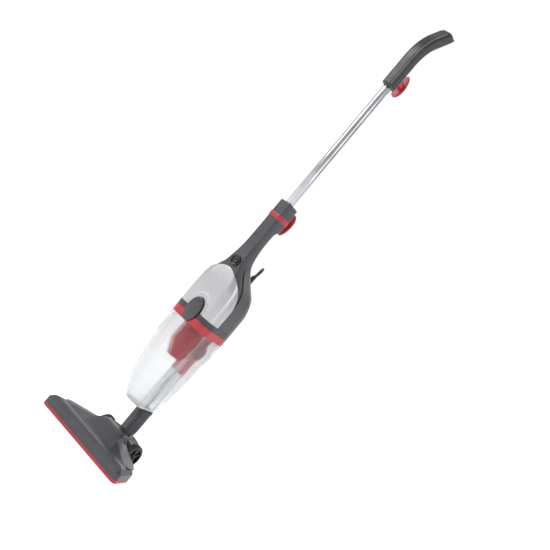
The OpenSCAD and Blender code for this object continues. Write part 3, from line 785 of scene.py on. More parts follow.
@dataclass(frozen=True)
class Stations:
    """A size that changes smoothly with height, given at some heights."""

    heights: tuple[float, ...]
    values: tuple[float, ...]

    def at(self, z: float) -> float:
        """Value at height z, on a cubic curve through the stations."""
        h, v = self.heights, self.values
        i = max(0, min(len(h) - 2, int(np.searchsorted(h, z, "right")) - 1))
        gap = h[i + 1] - h[i]
        u = max(0.0, min(1.0, (z - h[i]) / gap))

        def slope(k: int) -> float:
            lo, hi = max(k - 1, 0), min(k + 1, len(h) - 1)
            return (v[hi] - v[lo]) / (h[hi] - h[lo])

        rise = gap * (slope(i) * (u**3 - 2 * u * u + u) + slope(i + 1) * (u**3 - u * u))
        return v[i] * (2 * u**3 - 3 * u * u + 1) + v[i + 1] * (3 * u * u - 2 * u**3) + rise


def stations(*pairs: tuple[float, float]) -> Stations:
    """Stations from pairs of height and value."""
    return Stations(tuple(p[0] for p in pairs), tuple(p[1] for p in pairs))


@dataclass(frozen=True)
class BodyForm:
    """Outline of the body from the container's bottom to the top of the neck."""

    neck_top: float = 640.0
    width: Stations = stations(
        (123, 22), (133, 26), (155, 32.5), (187, 40), (225, 46), (274, 50.5), (320, 52.6), (350, 53),
        (398, 53), (414, 52), (424, 51), (434, 48.6), (444, 44.5), (458, 35.5), (474, 26), (491, 20.5),
        (520, 17), (560, 16), (640, 16.6),
    )
    front: Stations = stations(
        (123, 12), (133, 6), (155, -5), (187, -14.5), (225, -19.5), (274, -22.3), (350, -23), (424, -22.8),
        (458, -20.8), (491, -17.8), (530, -15.2), (640, -15.5),
    )
    back: Stations = stations(
        (123, 98), (133, 99.5), (155, 100), (187, 101.5), (225, 103.5), (274, 105.3), (350, 106),
        (392, 105.7), (406, 103.6), (422, 96.5), (433, 90), (443, 82.5), (458, 64), (474, 44.5),
        (491, 26.5), (520, 15.2), (572, 14.2), (584, 23.5), (640, 24.5),
    )
    front_bend: Stations = stations(
        (123, 15), (155, 20), (225, 25), (400, 26), (444, 20), (474, 11), (520, 7), (640, 7.5)
    )
    back_bend: Stations = stations(
        (123, 21), (155, 31), (225, 44), (320, 50), (400, 51), (444, 42), (474, 23), (491, 17),
        (520, 10.5), (640, 12),
    )
    seam: Stations = stations((123, 40), (341, 15), (400, 14), (444, 8), (474, -1), (520, -6), (640, -6))

    def sizes(self, z: float) -> tuple[float, float, float, float, float, float]:
        """Half width, front, back, front bend, back bend and seam at height z."""
        w = self.width.at(z)
        q = min(self.back_bend.at(z), w - 0.5)
        return w, self.front.at(z), self.back.at(z), self.front_bend.at(z), q, self.seam.at(z)

    def ring(self, z: float, t: float = 0.0) -> Ring:
        """Whole outline, inset by t."""
        w, f, b, p, q, _ = self.sizes(z)
        return (
            arc(w - p, f + p, p - t, 270, 360, z)
            + arc(w - q, b - q, q - t, 0, 90, z)
            + arc(q - w, b - q, q - t, 90, 180, z)
            + arc(p - w, f + p, p - t, 180, 270, z)
        )

    def front_half(self, z: float, t: float) -> Ring:
        """Front half of the outline from -X to +X, inset by t."""
        w, f, _, p, _, s = self.sizes(z)
        bends = arc(p - w, f + p, p - t, 180, 270, z) + arc(w - p, f + p, p - t, 270, 360, z)
        return [(t - w, s, z)] + bends + [(w - t, s, z)]

    def back_half(self, z: float, t: float) -> Ring:
        """Back half of the outline from +X to -X, inset by t."""
        w, _, b, _, q, s = self.sizes(z)
        bends = arc(w - q, b - q, q - t, 0, 90, z) + arc(q - w, b - q, q - t, 90, 180, z)
        return [(w - t, s + 0.02, z)] + bends + [(t - w, s + 0.02, z)]

    def front_run(self, z: float) -> float:
        """Length of the front outline from its centre to the seam."""
        w, f, _, p, _, s = self.sizes(z)
        return (w - p) + p * math.pi / 2 + max(0.0, s - f - p)

    def front_point(self, z: float, run: float, t: float) -> tuple[float, float, float]:
        """Point on the front outline at a distance along it from its centre, inset by t."""
        w, f, _, p, _, _ = self.sizes(z)
        d, side, flat, bend = abs(run), -1 if run < 0 else 1, w - p, p * math.pi / 2
        if d < flat:
            return (run, f + t, z)
        if d < flat + bend:
            a = (d - flat) / p
            return (side * (flat + (p - t) * math.sin(a)), f + p - (p - t) * math.cos(a), z)
        return (side * (w - t), f + p + d - flat - bend, z)


FORM = BodyForm()


def steps_between(low: float, high: float, pitch: float) -> list[float]:
    """Evenly spaced heights from low to high, no further apart than pitch."""
    count = max(1, math.ceil((high - low) / pitch))
    return [low + (high - low) * i / count for i in range(count + 1)]


def oval_ring(a: float, b: float, y: float, z: float, steps: int = 64) -> Ring:
    """Upright oval that faces -Y, with half sizes a and b."""
    angles = [2 * math.pi * i / steps for i in range(steps)]
    return [(a * math.cos(t), y, z + b * math.sin(t)) for t in angles][::-1]


def smooth_path(points: Sequence[Point], parts: int) -> list[Vector]:
    """Catmull-Rom curve through points, with parts steps for each stretch."""
    p = [Vector(q) for q in points]
    out = []
    for i in range(len(p) - 1):
        a, b, c, d = p[max(i - 1, 0)], p[i], p[i + 1], p[min(i + 2, len(p) - 1)]
        for k in range(parts):
            u = k / parts
            out.append(
                0.5
                * (
                    2 * b
                    + (c - a) * u
                    + (2 * a - 5 * b + 4 * c - d) * u * u
                    + (3 * b - a - 3 * c + d) * u**3
                )
            )
    return out + [p[-1]]


# ---------------------------------------------------------------- studio


@dataclass
class Studio:
    """White floor, soft lights and the camera."""

    azimuth: float = 33.0
    distance: float = 1.777
    height: float = 0.477
    aim: tuple[float, float, float] = (0.0594, 0.0386, 0.5114)
    lens: float = 56.7
    roll: float = 40.0

    def camera(self) -> bpy.types.Object:
        """Makes the camera, turned about its own line of sight."""
        data = bpy.data.cameras.new("view")
        data.lens, data.sensor_width = self.lens, 36.0
        obj = bpy.data.objects.new("view", data)
        bpy.context.scene.collection.objects.link(obj)
        a = math.radians(self.azimuth)
        spot = Vector((self.distance * math.sin(a), -self.distance * math.cos(a), self.height))
        look = (Vector(self.aim) - spot).to_track_quat("-Z", "Y")
        turn = Matrix.Rotation(math.radians(self.roll), 4, "Z")
        obj.matrix_world = Matrix.Translation(spot) @ look.to_matrix().to_4x4() @ turn
        data.clip_start, data.clip_end = 0.05, 60.0
        bpy.context.scene.camera = obj
        return obj

    def floor(self) -> None:
        """Makes the floor."""
        size = 28000.0
        obj = mesh_object(
            "floor", [(-size, -size, 0), (size, -size, 0), (size, size, 0), (-size, size, 0)], [(0, 1, 2, 3)]
        )
        dress(obj, FLOOR)

    def lights(self) -> None:
        """Makes the soft boxes and the pale surroundings."""
        for name, spot, aim, size, power in (
            ("key", (-1.7, -2.0, 2.0), (0, 0, 0.5), (1.0, 2.0), 38.0),
            ("fill", (2.6, -0.6, 1.5), (0, 0, 0.5), (0.8, 2.4), 15.0),
            ("back", (-0.6, 2.2, 1.9), (0, 0, 0.6), (2.2, 2.2), 10.0),
        ):
            data = bpy.data.lights.new(name, "AREA")
            data.shape, data.size, data.size_y, data.energy = "RECTANGLE", size[0], size[1], power
            obj = bpy.data.objects.new(name, data)
            bpy.context.scene.collection.objects.link(obj)
            obj.location = spot
            obj.rotation_euler = (Vector(aim) - Vector(spot)).to_track_quat("-Z", "Y").to_euler()
        world = bpy.data.worlds.new("surroundings")
        world.use_nodes = True
        bpy.context.scene.world = world
        tree = world.node_tree
        tree.nodes.clear()
        way = add_node(tree, "ShaderNodeTexCoord").outputs["Generated"]
        back = add_node(
            tree, "ShaderNodeVectorMath", {"operation": "DOT_PRODUCT", 1: (-0.545, 0.839, 0.0)}, {0: way}
        )
        ramp = add_node(tree, "ShaderNodeValToRGB", None, {"Fac": back.outputs["Value"]})
        ramp.color_ramp.elements[0].position = 0.0
        ramp.color_ramp.elements[0].color = (0.56, 0.56, 0.57, 1.0)
        ramp.color_ramp.elements[1].position = 0.7
        ramp.color_ramp.elements[1].color = (1.0, 1.0, 1.0, 1.0)
        shade = add_node(tree, "ShaderNodeBackground", {"Strength": 1.02}, {"Color": ramp.outputs["Color"]})
        add_node(tree, "ShaderNodeOutputWorld", None, {"Surface": shade.outputs["Background"]})
        bpy.context.scene.view_settings.view_transform = "Standard"


# ---------------------------------------------------------------- cord


@dataclass
class MainsCord:
    """Free cord with its plug, wound into a coil behind the floor head."""

    diameter: float = 6.2
    length: float = 5000.0
    coil_x: float = -62.0
    coil_y: float = 166.0
    inner: float = 24.8
    rows: int = 5
    layers: int = 4
    turns: int = 19
    points_per_turn: int = 72
    crossing: float = 2.3
    tail_y: float = 222.4
    plug_x: float = -96.0
    axis_z: float = 6.0
    foot: tuple[float, float, float] = (0.0, 62.5, 446.0)
    lean: float = 25.0
    route: tuple[tuple[float, float, float], ...] = (
        (0.0, 79.4047, 482.2523), (0, 83, 489.8), (-2, 88.5, 498), (-6, 95.5, 503.8), (-11, 103.5, 506),
        (-17, 112, 503.2), (-22, 118.5, 495.5), (-25, 122, 484), (-26, 123, 468), (-26, 123, 430),
        (-26, 122, 350), (-26, 122, 250), (-26, 122, 150), (-26, 122, 80), (-25, 123, 54),
        (-22, 127, 38), (-18, 136, 28),
    )

    def winding(self) -> list[Vector]:
        """Points of the turns, from where the cord lands to the start of the tail."""
        d, turns, top_turns = self.diameter, self.turns, self.layers
        outer = self.inner + (self.rows - 1) * d
        top = d / 2 + (self.layers - 1) * d
        land_x, land_y, _ = self.route[-1]
        start = math.degrees(math.atan2(land_y - self.coil_y, land_x - self.coil_x))
        knots = [k / 2 for k in range(9)]
        radii = [outer - d * k for k in (0, 0, 1, 1, 2, 2, 3, 3, 4)]
        out = []
        last = turns + (90 - start) / 360
        count = round(last * self.points_per_turn)
        for i in range(3, count + 1):
            t = last * i / count
            if t < top_turns:
                land = max(0.0, 1 - t / 0.16) ** 2
                r, z = float(np.interp(t, knots, radii)) + 3.7 * land, top + 6.3 * land
            elif t < turns:
                layer, u = divmod(t - top_turns, self.rows)
                z = top - d * layer
                outward = int(layer) % 2 == 0
                bulge = -self.crossing if outward else self.crossing
                if u < 1:
                    edge = self.inner if outward else outer
                    r = edge + bulge * math.sin(math.pi * u)
                    z -= d / 2 * (1 - math.cos(math.pi * u))
                else:
                    z -= d
                    r = self.inner + d * (u - 1) if outward else outer - d * (u - 1)
            else:
                u = (t - turns) / (last - turns)
                ease = u * u * (3 - 2 * u)
                r = outer + (self.tail_y - self.coil_y - outer) * ease
                z = d / 2
            a = math.radians(start + 360 * t)
            out.append(Vector((self.coil_x + r * math.cos(a), self.coil_y + r * math.sin(a), z)))
        return out

    def path(self) -> list[Vector]:
        """The whole centreline, from the strain relief to the plug."""
        points = smooth_path(self.route, 5) + self.winding()
        end = self.plug_x - self.coil_x
        for k in range(1, 9):
            u = k / 8
            lift = (self.axis_z - self.diameter / 2) * u * u * (3 - 2 * u)
            points.append(Vector((self.coil_x + end * u, self.tail_y, self.diameter / 2 + lift)))
        return points

    def cord(self) -> bpy.types.Object:
        """Makes the cord as one curve."""
        points = self.path()
        data = bpy.data.curves.new("mains_cord", "CURVE")
        data.dimensions, data.bevel_depth, data.bevel_resolution = "3D", self.diameter / 2 * MM, 3
        data.use_fill_caps = True
        spline = data.splines.new("POLY")
        spline.points.add(len(points) - 1)
        for spot, p in zip(spline.points, points):
            spot.co = (p.x * MM, p.y * MM, p.z * MM, 1.0)
        spline.use_smooth = True
        obj = bpy.data.objects.new("mains_cord", data)
        bpy.context.scene.collection.objects.link(obj)
        return obj

    def plug(self) -> bpy.types.Object:
        """Makes the moulded plug body with grip ridges."""
        x, y, z = self.plug_x, self.tail_y, self.axis_z
        rings = []
        for step, a, b, r in (
            (0, 3.7, 3.7, 3.6), (-1.2, 4.3, 4.3, 4.1), (-6, 4.9, 4.6, 4.2), (-11, 6.2, 5.0, 4.4),
            (-14, 8.0, 5.5, 4.5), (-17, 8.8, 5.8, 4.4), (-24, 9.0, 5.9, 4.2), (-34, 9.0, 5.9, 4.2),
            (-38.5, 8.8, 5.8, 3.8), (-40, 8.2, 5.2, 3.4),
        ):
            rings.append([(x + step, y + p[0], z + p[1]) for p in rounded_box(0, 0, a, b, r, 0)])
        body = loft("plug_moulding", rings)
        cuts = []
        for k in range(5):
            for side in (-1, 1):
                cuts.append(
                    block(
                        "ridge_cut",
                        (x - 33 + k * 3.2, y + side * 9.4 - 0.9, 2.5),
                        (x - 31.6 + k * 3.2, y + side * 9.4 + 0.9, 9.5),
                    )
                )
        combine(body, cuts, "DIFFERENCE")
        return soften(body, 0.35, 2)

    def pins(self) -> bpy.types.Object:
        """Makes the two round-ended pins with sleeved roots."""
        profile = [(0, 0), (1.2, 0.1), (1.85, 0.8), (2.0, 1.8), (2.0, 19.0), (0, 19.0)]
        pin = turned("plug_contacts", profile, at(0, 0, 0, TO_X), 24)
        row = Repeater(Pattern.LINE, 2, (self.plug_x - 59, self.tail_y - 5, self.axis_z), (0, 10, 0))
        return row.make("plug_contacts_pair", pin, BRASS)

    def tie(self) -> bpy.types.Object:
        """Makes the hook-and-loop strap round the coil."""
        d = self.diameter
        inside, outside = self.inner - d / 2 - 2.9, self.inner + (self.rows - 1) * d + d / 2 + 2.7
        top = self.layers * d + 0.3
        frame_in = rounded_box((inside + outside) / 2, top / 2, (outside - inside) / 2, top / 2, 5.0, 0, 6)
        frame_out = rounded_box(
            (inside + outside) / 2, top / 2, (outside - inside) / 2 + 1.1, top / 2 + 1.1, 6.1, 0, 6
        )
        rings = [[(p[0], -4.5 + h, p[1]) for p in src] for h in (0.0, 9.0) for src in (frame_out, frame_in)]
        strap = wall("cord_strap", [rings[0], rings[2]], [rings[1], rings[3]])
        strap.data.transform(Matrix.Rotation(math.radians(200), 4, "Z"))
        strap.data.transform(Matrix.Translation((self.coil_x * MM, self.coil_y * MM, 0)))
        flat = np.array([v.co[2] for v in strap.data.vertices]).min()
        strap.data.transform(Matrix.Translation((0, 0, max(0.0, 0.0001 - flat))))
        return soften(face_out(strap), 0.3, 2)

    def relief(self) -> bpy.types.Object:
        """Makes the tapered strain relief with its ring of ribs."""
        lean = Matrix.Rotation(-math.radians(self.lean), 4, "X")
        place = at(*self.foot, lean)
        profile = [
            (0, -2), (6.1, -2), (6.1, 13.4), (5.6, 14.2), (4.9, 14.6), (4.5, 26), (4.15, 38.6), (3.9, 39.7),
            (3.4, 40), (0, 40),
        ]
        core = turned("cord_relief", profile, place, 40)
        rib = [(3.6, 0), (5.9, 0.1), (6.2, 0.45), (6.2, 1.55), (5.9, 1.9), (3.6, 2.0)]
        shape = turned("relief_rib", rib, Matrix.Identity(4), 36)
        lift = lean @ Vector((0, 0, 15.0))
        gap = lean @ Vector((0, 0, 3.5))
        start = Vector(self.foot) + lift
        shape.data.transform(lean)
        row = Repeater(Pattern.LINE, 7, tuple(start), tuple(gap), shrink=0.035)
        ribs = row.make("relief_ribs", shape, SEAL)
        face_out(ribs)
        combine(core, [ribs], "UNION")
        return crisp(core, 40)

    def build(self) -> None:
        """Makes and places everything on the cord."""
        plug = place_piece(self.plug(), Body.HAND, BLACK, ["plug_body"])
        pins = place_piece(self.pins(), Body.HAND, BRASS, ["plug_pins"])
        tie = place_piece(self.tie(), Body.HAND, STRAP, ["cord_tie"])
        place_piece(self.relief(), Body.HAND, SEAL, ["strain_relief"])
        cord = place_piece(self.cord(), Body.HAND, CABLE, ["cord", "cord_coil", "cord_tail"])


# ---------------------------------------------------------------- hand unit


@dataclass
class HandUnit:
    """Motor body with its shells, silver panel, buttons, lower cord hook and exhaust."""

    wall: float = 2.4
    band_z: float = 341.0
    panel_z: float = 353.0
    arch_z: float = 398.0
    panel_top: float = 465.0
    vent_z: float = 381.0
    power_z: float = 485.0
    recess_z: float = 483.0
    step: float = 2.3
    dish_half: float = 27.0
    dish_top: float = 41.5
    button_half: tuple[float, float] = (17.0, 28.4)
    pocket_half: tuple[float, float] = (17.9, 29.6)

    def panel_step(self, z: float) -> float:
        """How far the front shell lies under the panel at height z."""
        if z < self.panel_top + 6:
            return self.step
        return max(0.0, self.step * (1 - (z - self.panel_top - 6) / 14))

    def panel_share(self, z: float) -> float:
        """Half width of the panel as a share of the run to the seam."""
        if z <= self.arch_z:
            return 1.0
        u = (z - self.arch_z) / (self.panel_top - self.arch_z)
        return max(0.02, math.sqrt(max(0.0, 1 - u * u)) * (1 - 0.1 * u))

    def pocket(self, depth: float) -> bpy.types.Object:
        """Cutter for the pocket that the release button sinks into."""
        a, b = self.pocket_half
        return loft("pocket_cut", [oval_ring(a, b, y, self.panel_z) for y in (-40.0, depth)])

    def front_shell(self) -> bpy.types.Object:
        """Charcoal front shell: a raised neck that spreads into the shoulders round the panel."""
        levels = steps_between(self.panel_z, FORM.neck_top, 4.0)
        outer = [FORM.front_half(z, self.panel_step(z)) for z in levels]
        inner = [FORM.front_half(z, self.panel_step(z) + self.wall) for z in levels]
        shell = wall("front_moulding", outer, inner, closed=False)
        cutters = [
            rod("switch_cut", 11.6, -30, 0, at(0, 0, self.recess_z, TO_Y), 48),
            self.pocket(-18.6),
        ]
        return soften(combine(shell, cutters, "DIFFERENCE"), 0.5, 2)

    def ridges(self) -> bpy.types.Object:
        """Pair of raised lines down the neck's front corners and out along the panel's edge."""
        rows = []
        for side in (-1, 1):
            rings = []
            for z in steps_between(434.0, 636.0, 4.0):
                w, f, _, p, _, _ = FORM.sizes(z)
                flare = max(0.0, (500 - z) / 66) ** 1.6
                run = (w - p) + p * (0.42 + 0.2 * min(1.0, flare))
                inset = self.panel_step(z) + 0.25
                half = 1.1 if 440 < z < 630 else 0.5
                out = 0.55 if 440 < z < 630 else 0.1
                section = ((-1.0, 0.0), (-0.4, out + 0.25), (0.4, out + 0.25), (1.0, 0.0))
                ring = [FORM.front_point(z, side * (run + half * k), inset - up) for k, up in section]
                rings.append(ring[::side])
            rows.append(loft("neck_ridges", rings))
        return crisp(combine(rows[0], [rows[1]], "UNION"), 50)

    def back_shell(self) -> bpy.types.Object:
        """Charcoal back shell with the shoulder, the exhaust opening and screw wells."""
        levels = steps_between(self.panel_z, FORM.neck_top, 4.0)
        outer = [FORM.back_half(z, 0.0) for z in levels]
        inner = [FORM.back_half(z, self.wall) for z in levels]
        shell = wall("back_moulding", outer, inner, closed=False)
        cord = MainsCord()
        lean = Matrix.Rotation(-math.radians(cord.lean), 4, "X")
        cutters = [
            rod("relief_cut", 6.2, 0, 30, at(*cord.foot, lean), 40),
            loft("vent_cut", [upright_box(24, 15, 4, self.vent_z, y) for y in (95.0, 120.0)]),
        ]
        cutters += [
            rod("screw_cut", 2.6, 0, 40, at(0, 6, z, TO_Y), 24)
            for z in (530, 620)
        ]
        return soften(combine(shell, cutters, "DIFFERENCE"), 0.5, 2)

    def collar(self) -> bpy.types.Object:
        """Dark rim round the steel tube at the top of the neck."""
        outer, inner = [], []
        for z, t in ((636.0, 2.6), (640.2, 2.6), (641.2, 3.2)):
            outer.append([(x, y, z) for x, y, _ in FORM.ring(FORM.neck_top, t)])
            angles = [math.atan2(y, x) for x, y, _ in outer[-1]]
            inner.append([(9.75 * math.cos(a), 9.75 * math.sin(a), z) for a in angles])
        return crisp(face_out(wall("tube_collar", outer, inner)), 35)

    def panel(self) -> bpy.types.Object:
        """Silver front panel with a bevelled arched edge and a dished arch round the button."""
        levels = steps_between(self.panel_z + 0.15, self.arch_z, 1.5)
        levels += steps_between(self.arch_z, self.panel_top, 1.0)[1:]
        count = 120
        outer, inner = [], []
        for z in levels:
            edge = FORM.front_run(z) * self.panel_share(z) - 0.3
            front, back = [], []
            for i in range(count + 1):
                run = edge * (2 * i / count - 1)
                reach = math.hypot(run / self.dish_half, (z - self.panel_z) / self.dish_top)
                dish = max(0.0, min(1.0, (1.0 - reach) / 0.075))
                dish = dish * dish * (3 - 2 * dish) * 1.25
                rim = max(0.0, 1 - (edge - abs(run)) / 1.6)
                top = max(0.0, 1 - (self.panel_top - z) / 1.4)
                lip = 0.75 * max(rim, top) ** 2
                front.append(FORM.front_point(z, run, dish + lip))
                back.append(FORM.front_point(z, run, 2.1))
            outer.append(front)
            inner.append(back)
        panel = wall("silver_fascia", outer, inner, closed=False)
        combine(panel, [self.pocket(-10.0)], "DIFFERENCE")
        return crisp(panel, 28)

    def band(self) -> bpy.types.Object:
        """Dark band under the panel, with the dish and pocket of the button running on."""
        levels = steps_between(self.band_z + 0.15, self.panel_z - 0.15, 2.0)
        band = wall(
            "lower_collar", [FORM.ring(z, 0.0) for z in levels], [FORM.ring(z, 2.8) for z in levels]
        )
        combine(band, [self.pocket(-20.6)], "DIFFERENCE")
        return soften(band, 0.4, 3)

    def button(self) -> bpy.types.Object:
        """Oval release button with a shallow crowned face."""
        a, b = self.button_half
        crown = (
            (-27.85, 13.5), (-27.75, 9.5), (-27.6, 6.0), (-27.3, 3.4), (-27.15, 1.6), (-26.9, 0.7),
            (-26.5, 0.15), (-25.9, 0.0), (-24.4, 0.25),
        )
        rings = [oval_ring(a - t, b - t * 1.05, y, self.panel_z, 72) for y, t in crown]
        return crisp(loft("release_key", rings), 40)

    def button_stem(self) -> bpy.types.Object:
        """Catch behind the release button."""
        stem = block("release_catch", (-3.8, -24.5, 355), (3.8, -14.3, 359.4))
        nose = block("release_nose", (-3.8, -14.4, 355), (3.8, -12.4, 364))
        return soften(combine(stem, [nose], "UNION"), 0.4, 2)

    def bezel(self) -> bpy.types.Object:
        """Black ring round the power button with a finger recess below it."""
        profile = [
            (6.9, -13.4), (11.35, -13.4), (11.35, -20.2), (11.0, -20.9), (10.2, -21.3), (9.4, -21.0),
            (9.0, -19.8), (6.9, -19.2),
        ]
        dish = [(0, -14.6), (9.3, -14.6), (9.3, -17.3), (8.4, -17.7), (0, -17.2)]
        ring = turned("power_surround", profile, at(0, 0, self.recess_z, TO_Y), 72)
        disc = turned("power_recess", dish, at(0, 0, self.recess_z, TO_Y), 64)
        hole = rod("button_cut", 7.75, -30, 0, at(0, 0, self.power_z, TO_Y), 48)
        combine(ring, [disc], "UNION")
        combine(ring, [hole], "DIFFERENCE")
        return crisp(ring, 32)

    def power_key(self) -> bpy.types.Object:
        """Small round power button with a dished face."""
        profile = [
            (0, -14.7), (7.45, -14.7), (7.45, -20.6), (7.1, -21.1), (6.4, -21.35), (5.4, -21.1), (3, -20.8),
            (0, -20.7),
        ]
        return crisp(turned("power_key", profile, at(0, 0, self.power_z, TO_Y), 56), 40)

    def hook(self) -> bpy.types.Object:
        """Red lower cord hook: a band round the neck with a paddle behind."""
        levels = (600.0, 601.0, 610.0, 611.0)
        outs = (0.7, 1.4, 1.4, 0.7)
        ring = wall(
            "cord_hook_lower",
            [FORM.ring(z, -t) for z, t in zip(levels, outs)],
            [FORM.ring(z, -0.12) for z in levels],
        )
        arm = loft("hook_arm", [upright_box(5.5, 6.3, 2, 605.5, y) for y in (25.6, 43.0)])
        combine(ring, [arm, paddle("hook_paddle", 42.0, 608.0, False)], "UNION")
        return soften(ring, 0.6, 3, 40)

    def grille(self) -> bpy.types.Object:
        """Exhaust grille: a frame with slanted slats."""
        outer, inner = (
            [upright_box(a, b, r, self.vent_z, y) for y in (101.5, 105.4)]
            for a, b, r in ((23.7, 14.7, 4.0), (21.7, 12.7, 2.6))
        )
        rim = face_out(wall("exhaust_vent", outer, inner))
        slat = loft(
            "vent_slat",
            [[(x, -1.7, -0.2), (x, 1.5, -1.3), (x, 1.7, -0.6), (x, -1.5, 0.5)] for x in (-22.0, 22.0)],
        )
        row = Repeater(Pattern.LINE, 8, (0, 103.2, 369.6), (0, 0, 3.3))
        slats = row.make("vent_slats", slat, DARK)
        face_out(slats)
        return soften(combine(rim, [slats], "UNION"), 0.25, 2)

    def build(self) -> None:
        """Makes the hand unit's pieces."""
        place_all(
            (self.front_shell, Body.HAND, CHARCOAL, "shell_charcoal", "front_shell"),
            (self.ridges, Body.HAND, CHARCOAL, "shell_charcoal"),
            (self.back_shell, Body.HAND, CHARCOAL, "shell_charcoal", "back_shell"),
            (self.collar, Body.HAND, DARK, "trim_dark", "tube_socket"),
            (self.panel, Body.HAND, SILVER, "silver_paint", "silver_panel"),
            (self.band, Body.HAND, DARK, "trim_dark", "lower_band"),
            (self.button, Body.RELEASE, BUTTON_DARK, "trim_dark", "release_button"),
            (self.button_stem, Body.RELEASE, DARK, "trim_dark"),
            (self.bezel, Body.HAND, BLACK, "black_plastic", "power_bezel"),
            (self.power_key, Body.POWER, BLACK, "trim_dark", "power_button"),
            (self.hook, Body.HAND, RED, "red_plastic", "lower_hook"),
            (self.grille, Body.HAND, DARK, "trim_dark", "exhaust_grille"),
        )
        screw = screw_shape("shell_screw_shape", 2.35)
        row = Repeater(Pattern.LINE, 2, (0, 14.0, 530), (0, 0, 90))
        screw.data.transform(TO_Y)
        place_piece(row.make("shell_fixings", screw, STEEL), Body.HAND, STEEL, ["shell_screws"])


def screw_shape(name: str, r: float) -> bpy.types.Object:
    """Screw head with a cross recess, its face at +Z and its shank below."""
    profile = [(0, -5), (r * 0.45, -5), (r * 0.45, -1.4), (r, -1.4), (r, -0.5), (r * 0.8, 0), (0, 0.1)]
    head = turned(name, profile, Matrix.Identity(4), 24)
    arm = r * 0.62
    cuts = [
        block("cross_cut", (-arm, -r * 0.14, -0.7), (arm, r * 0.14, 1)),
        block("cross_cut", (-r * 0.14, -arm, -0.7), (r * 0.14, arm, 1)),
    ]
    return crisp(combine(head, cuts, "DIFFERENCE"), 30)


def paddle(name: str, y: float, z: float, up: bool) -> bpy.types.Object:
    """Egg shaped paddle of a cord hook, 4.4 mm thick, facing back from y."""
    sign = 1 if up else -1
    rings = []
    for dy, t in ((0.0, 1.0), (0.35, 0.35), (1.1, 0.0), (3.3, 0.0), (4.05, 0.35), (4.4, 1.0)):
        ring = []
        for i in range(64):
            a = 2 * math.pi * i / 64
            wide = (11.8 - t) * math.cos(a) * (1 - 0.16 * math.sin(a))
            ring.append((wide, y + dy, z + sign * (27 - t) * math.sin(a)))
        rings.append(ring[::-1])
    return loft(name, rings)


# ---------------------------------------------------------------- container and filter


@dataclass
class DustContainer:
    """Clear container with its inlet duct and rim gasket."""

    floor_z: float = 126.0
    wall: float = 2.2
    inlet_y: float = 84.0

    def vessel(self) -> bpy.types.Object:
        """Clear cup with rounded foot and thickened rim."""
        levels = [123.0, 123.6, 124.8] + steps_between(126.5, 318.0, 3.5) + [320.0, 323.9]
        outer, inner = [], []
        for z in levels:
            edge = 1.6 if z == 123.0 else 0.6 if z == 123.6 else 0.0
            outer.append(FORM.ring(z, edge))
            thick = self.wall + (0.8 if z > 319 else 0.0)
            inner.append(FORM.ring(z + 0.01 if z > self.floor_z else self.floor_z + z / 1e4, thick))
        cup = wall("clear_container", outer, inner, floor=True)
        hole = rod("duct_hole", 16.04, 96, 260, at(0, 84, 0), 64)
        combine(cup, [hole], "DIFFERENCE")
        return crisp(cup, 35)

    def duct(self) -> bpy.types.Object:
        """Clear inlet duct from the spigot to under the hood."""
        profile = [
            (13.6, 97), (15.4, 97), (16, 97.8), (16, 221), (15.6, 222), (14.9, 222.3), (14.9, 241.4),
            (14.4, 242), (13.6, 242),
        ]
        return crisp(turned("clear_duct", profile, at(0, self.inlet_y, 0), 64), 35)

    def gasket(self) -> bpy.types.Object:
        """Rubber gasket inside the rim."""
        levels = ((324.0, 3.3), (325.4, 3.5), (325.6, 3.9))
        outer = [FORM.ring(z, t) for z, t in levels]
        inner = [FORM.ring(z, 8.2 - t) for z, t in levels]
        return crisp(wall("rim_seal", outer, inner), 50)

    def build(self) -> None:
        """Makes the container's pieces."""
        place_all(
            (self.vessel, Body.CONTAINER, CLEAR, "clear_plastic", "dust_container"),
            (self.duct, Body.CONTAINER, CLEAR, "clear_plastic", "inlet_tube"),
            (self.gasket, Body.CONTAINER, SEAL, "black_rubber", "rim_gasket"),
        )


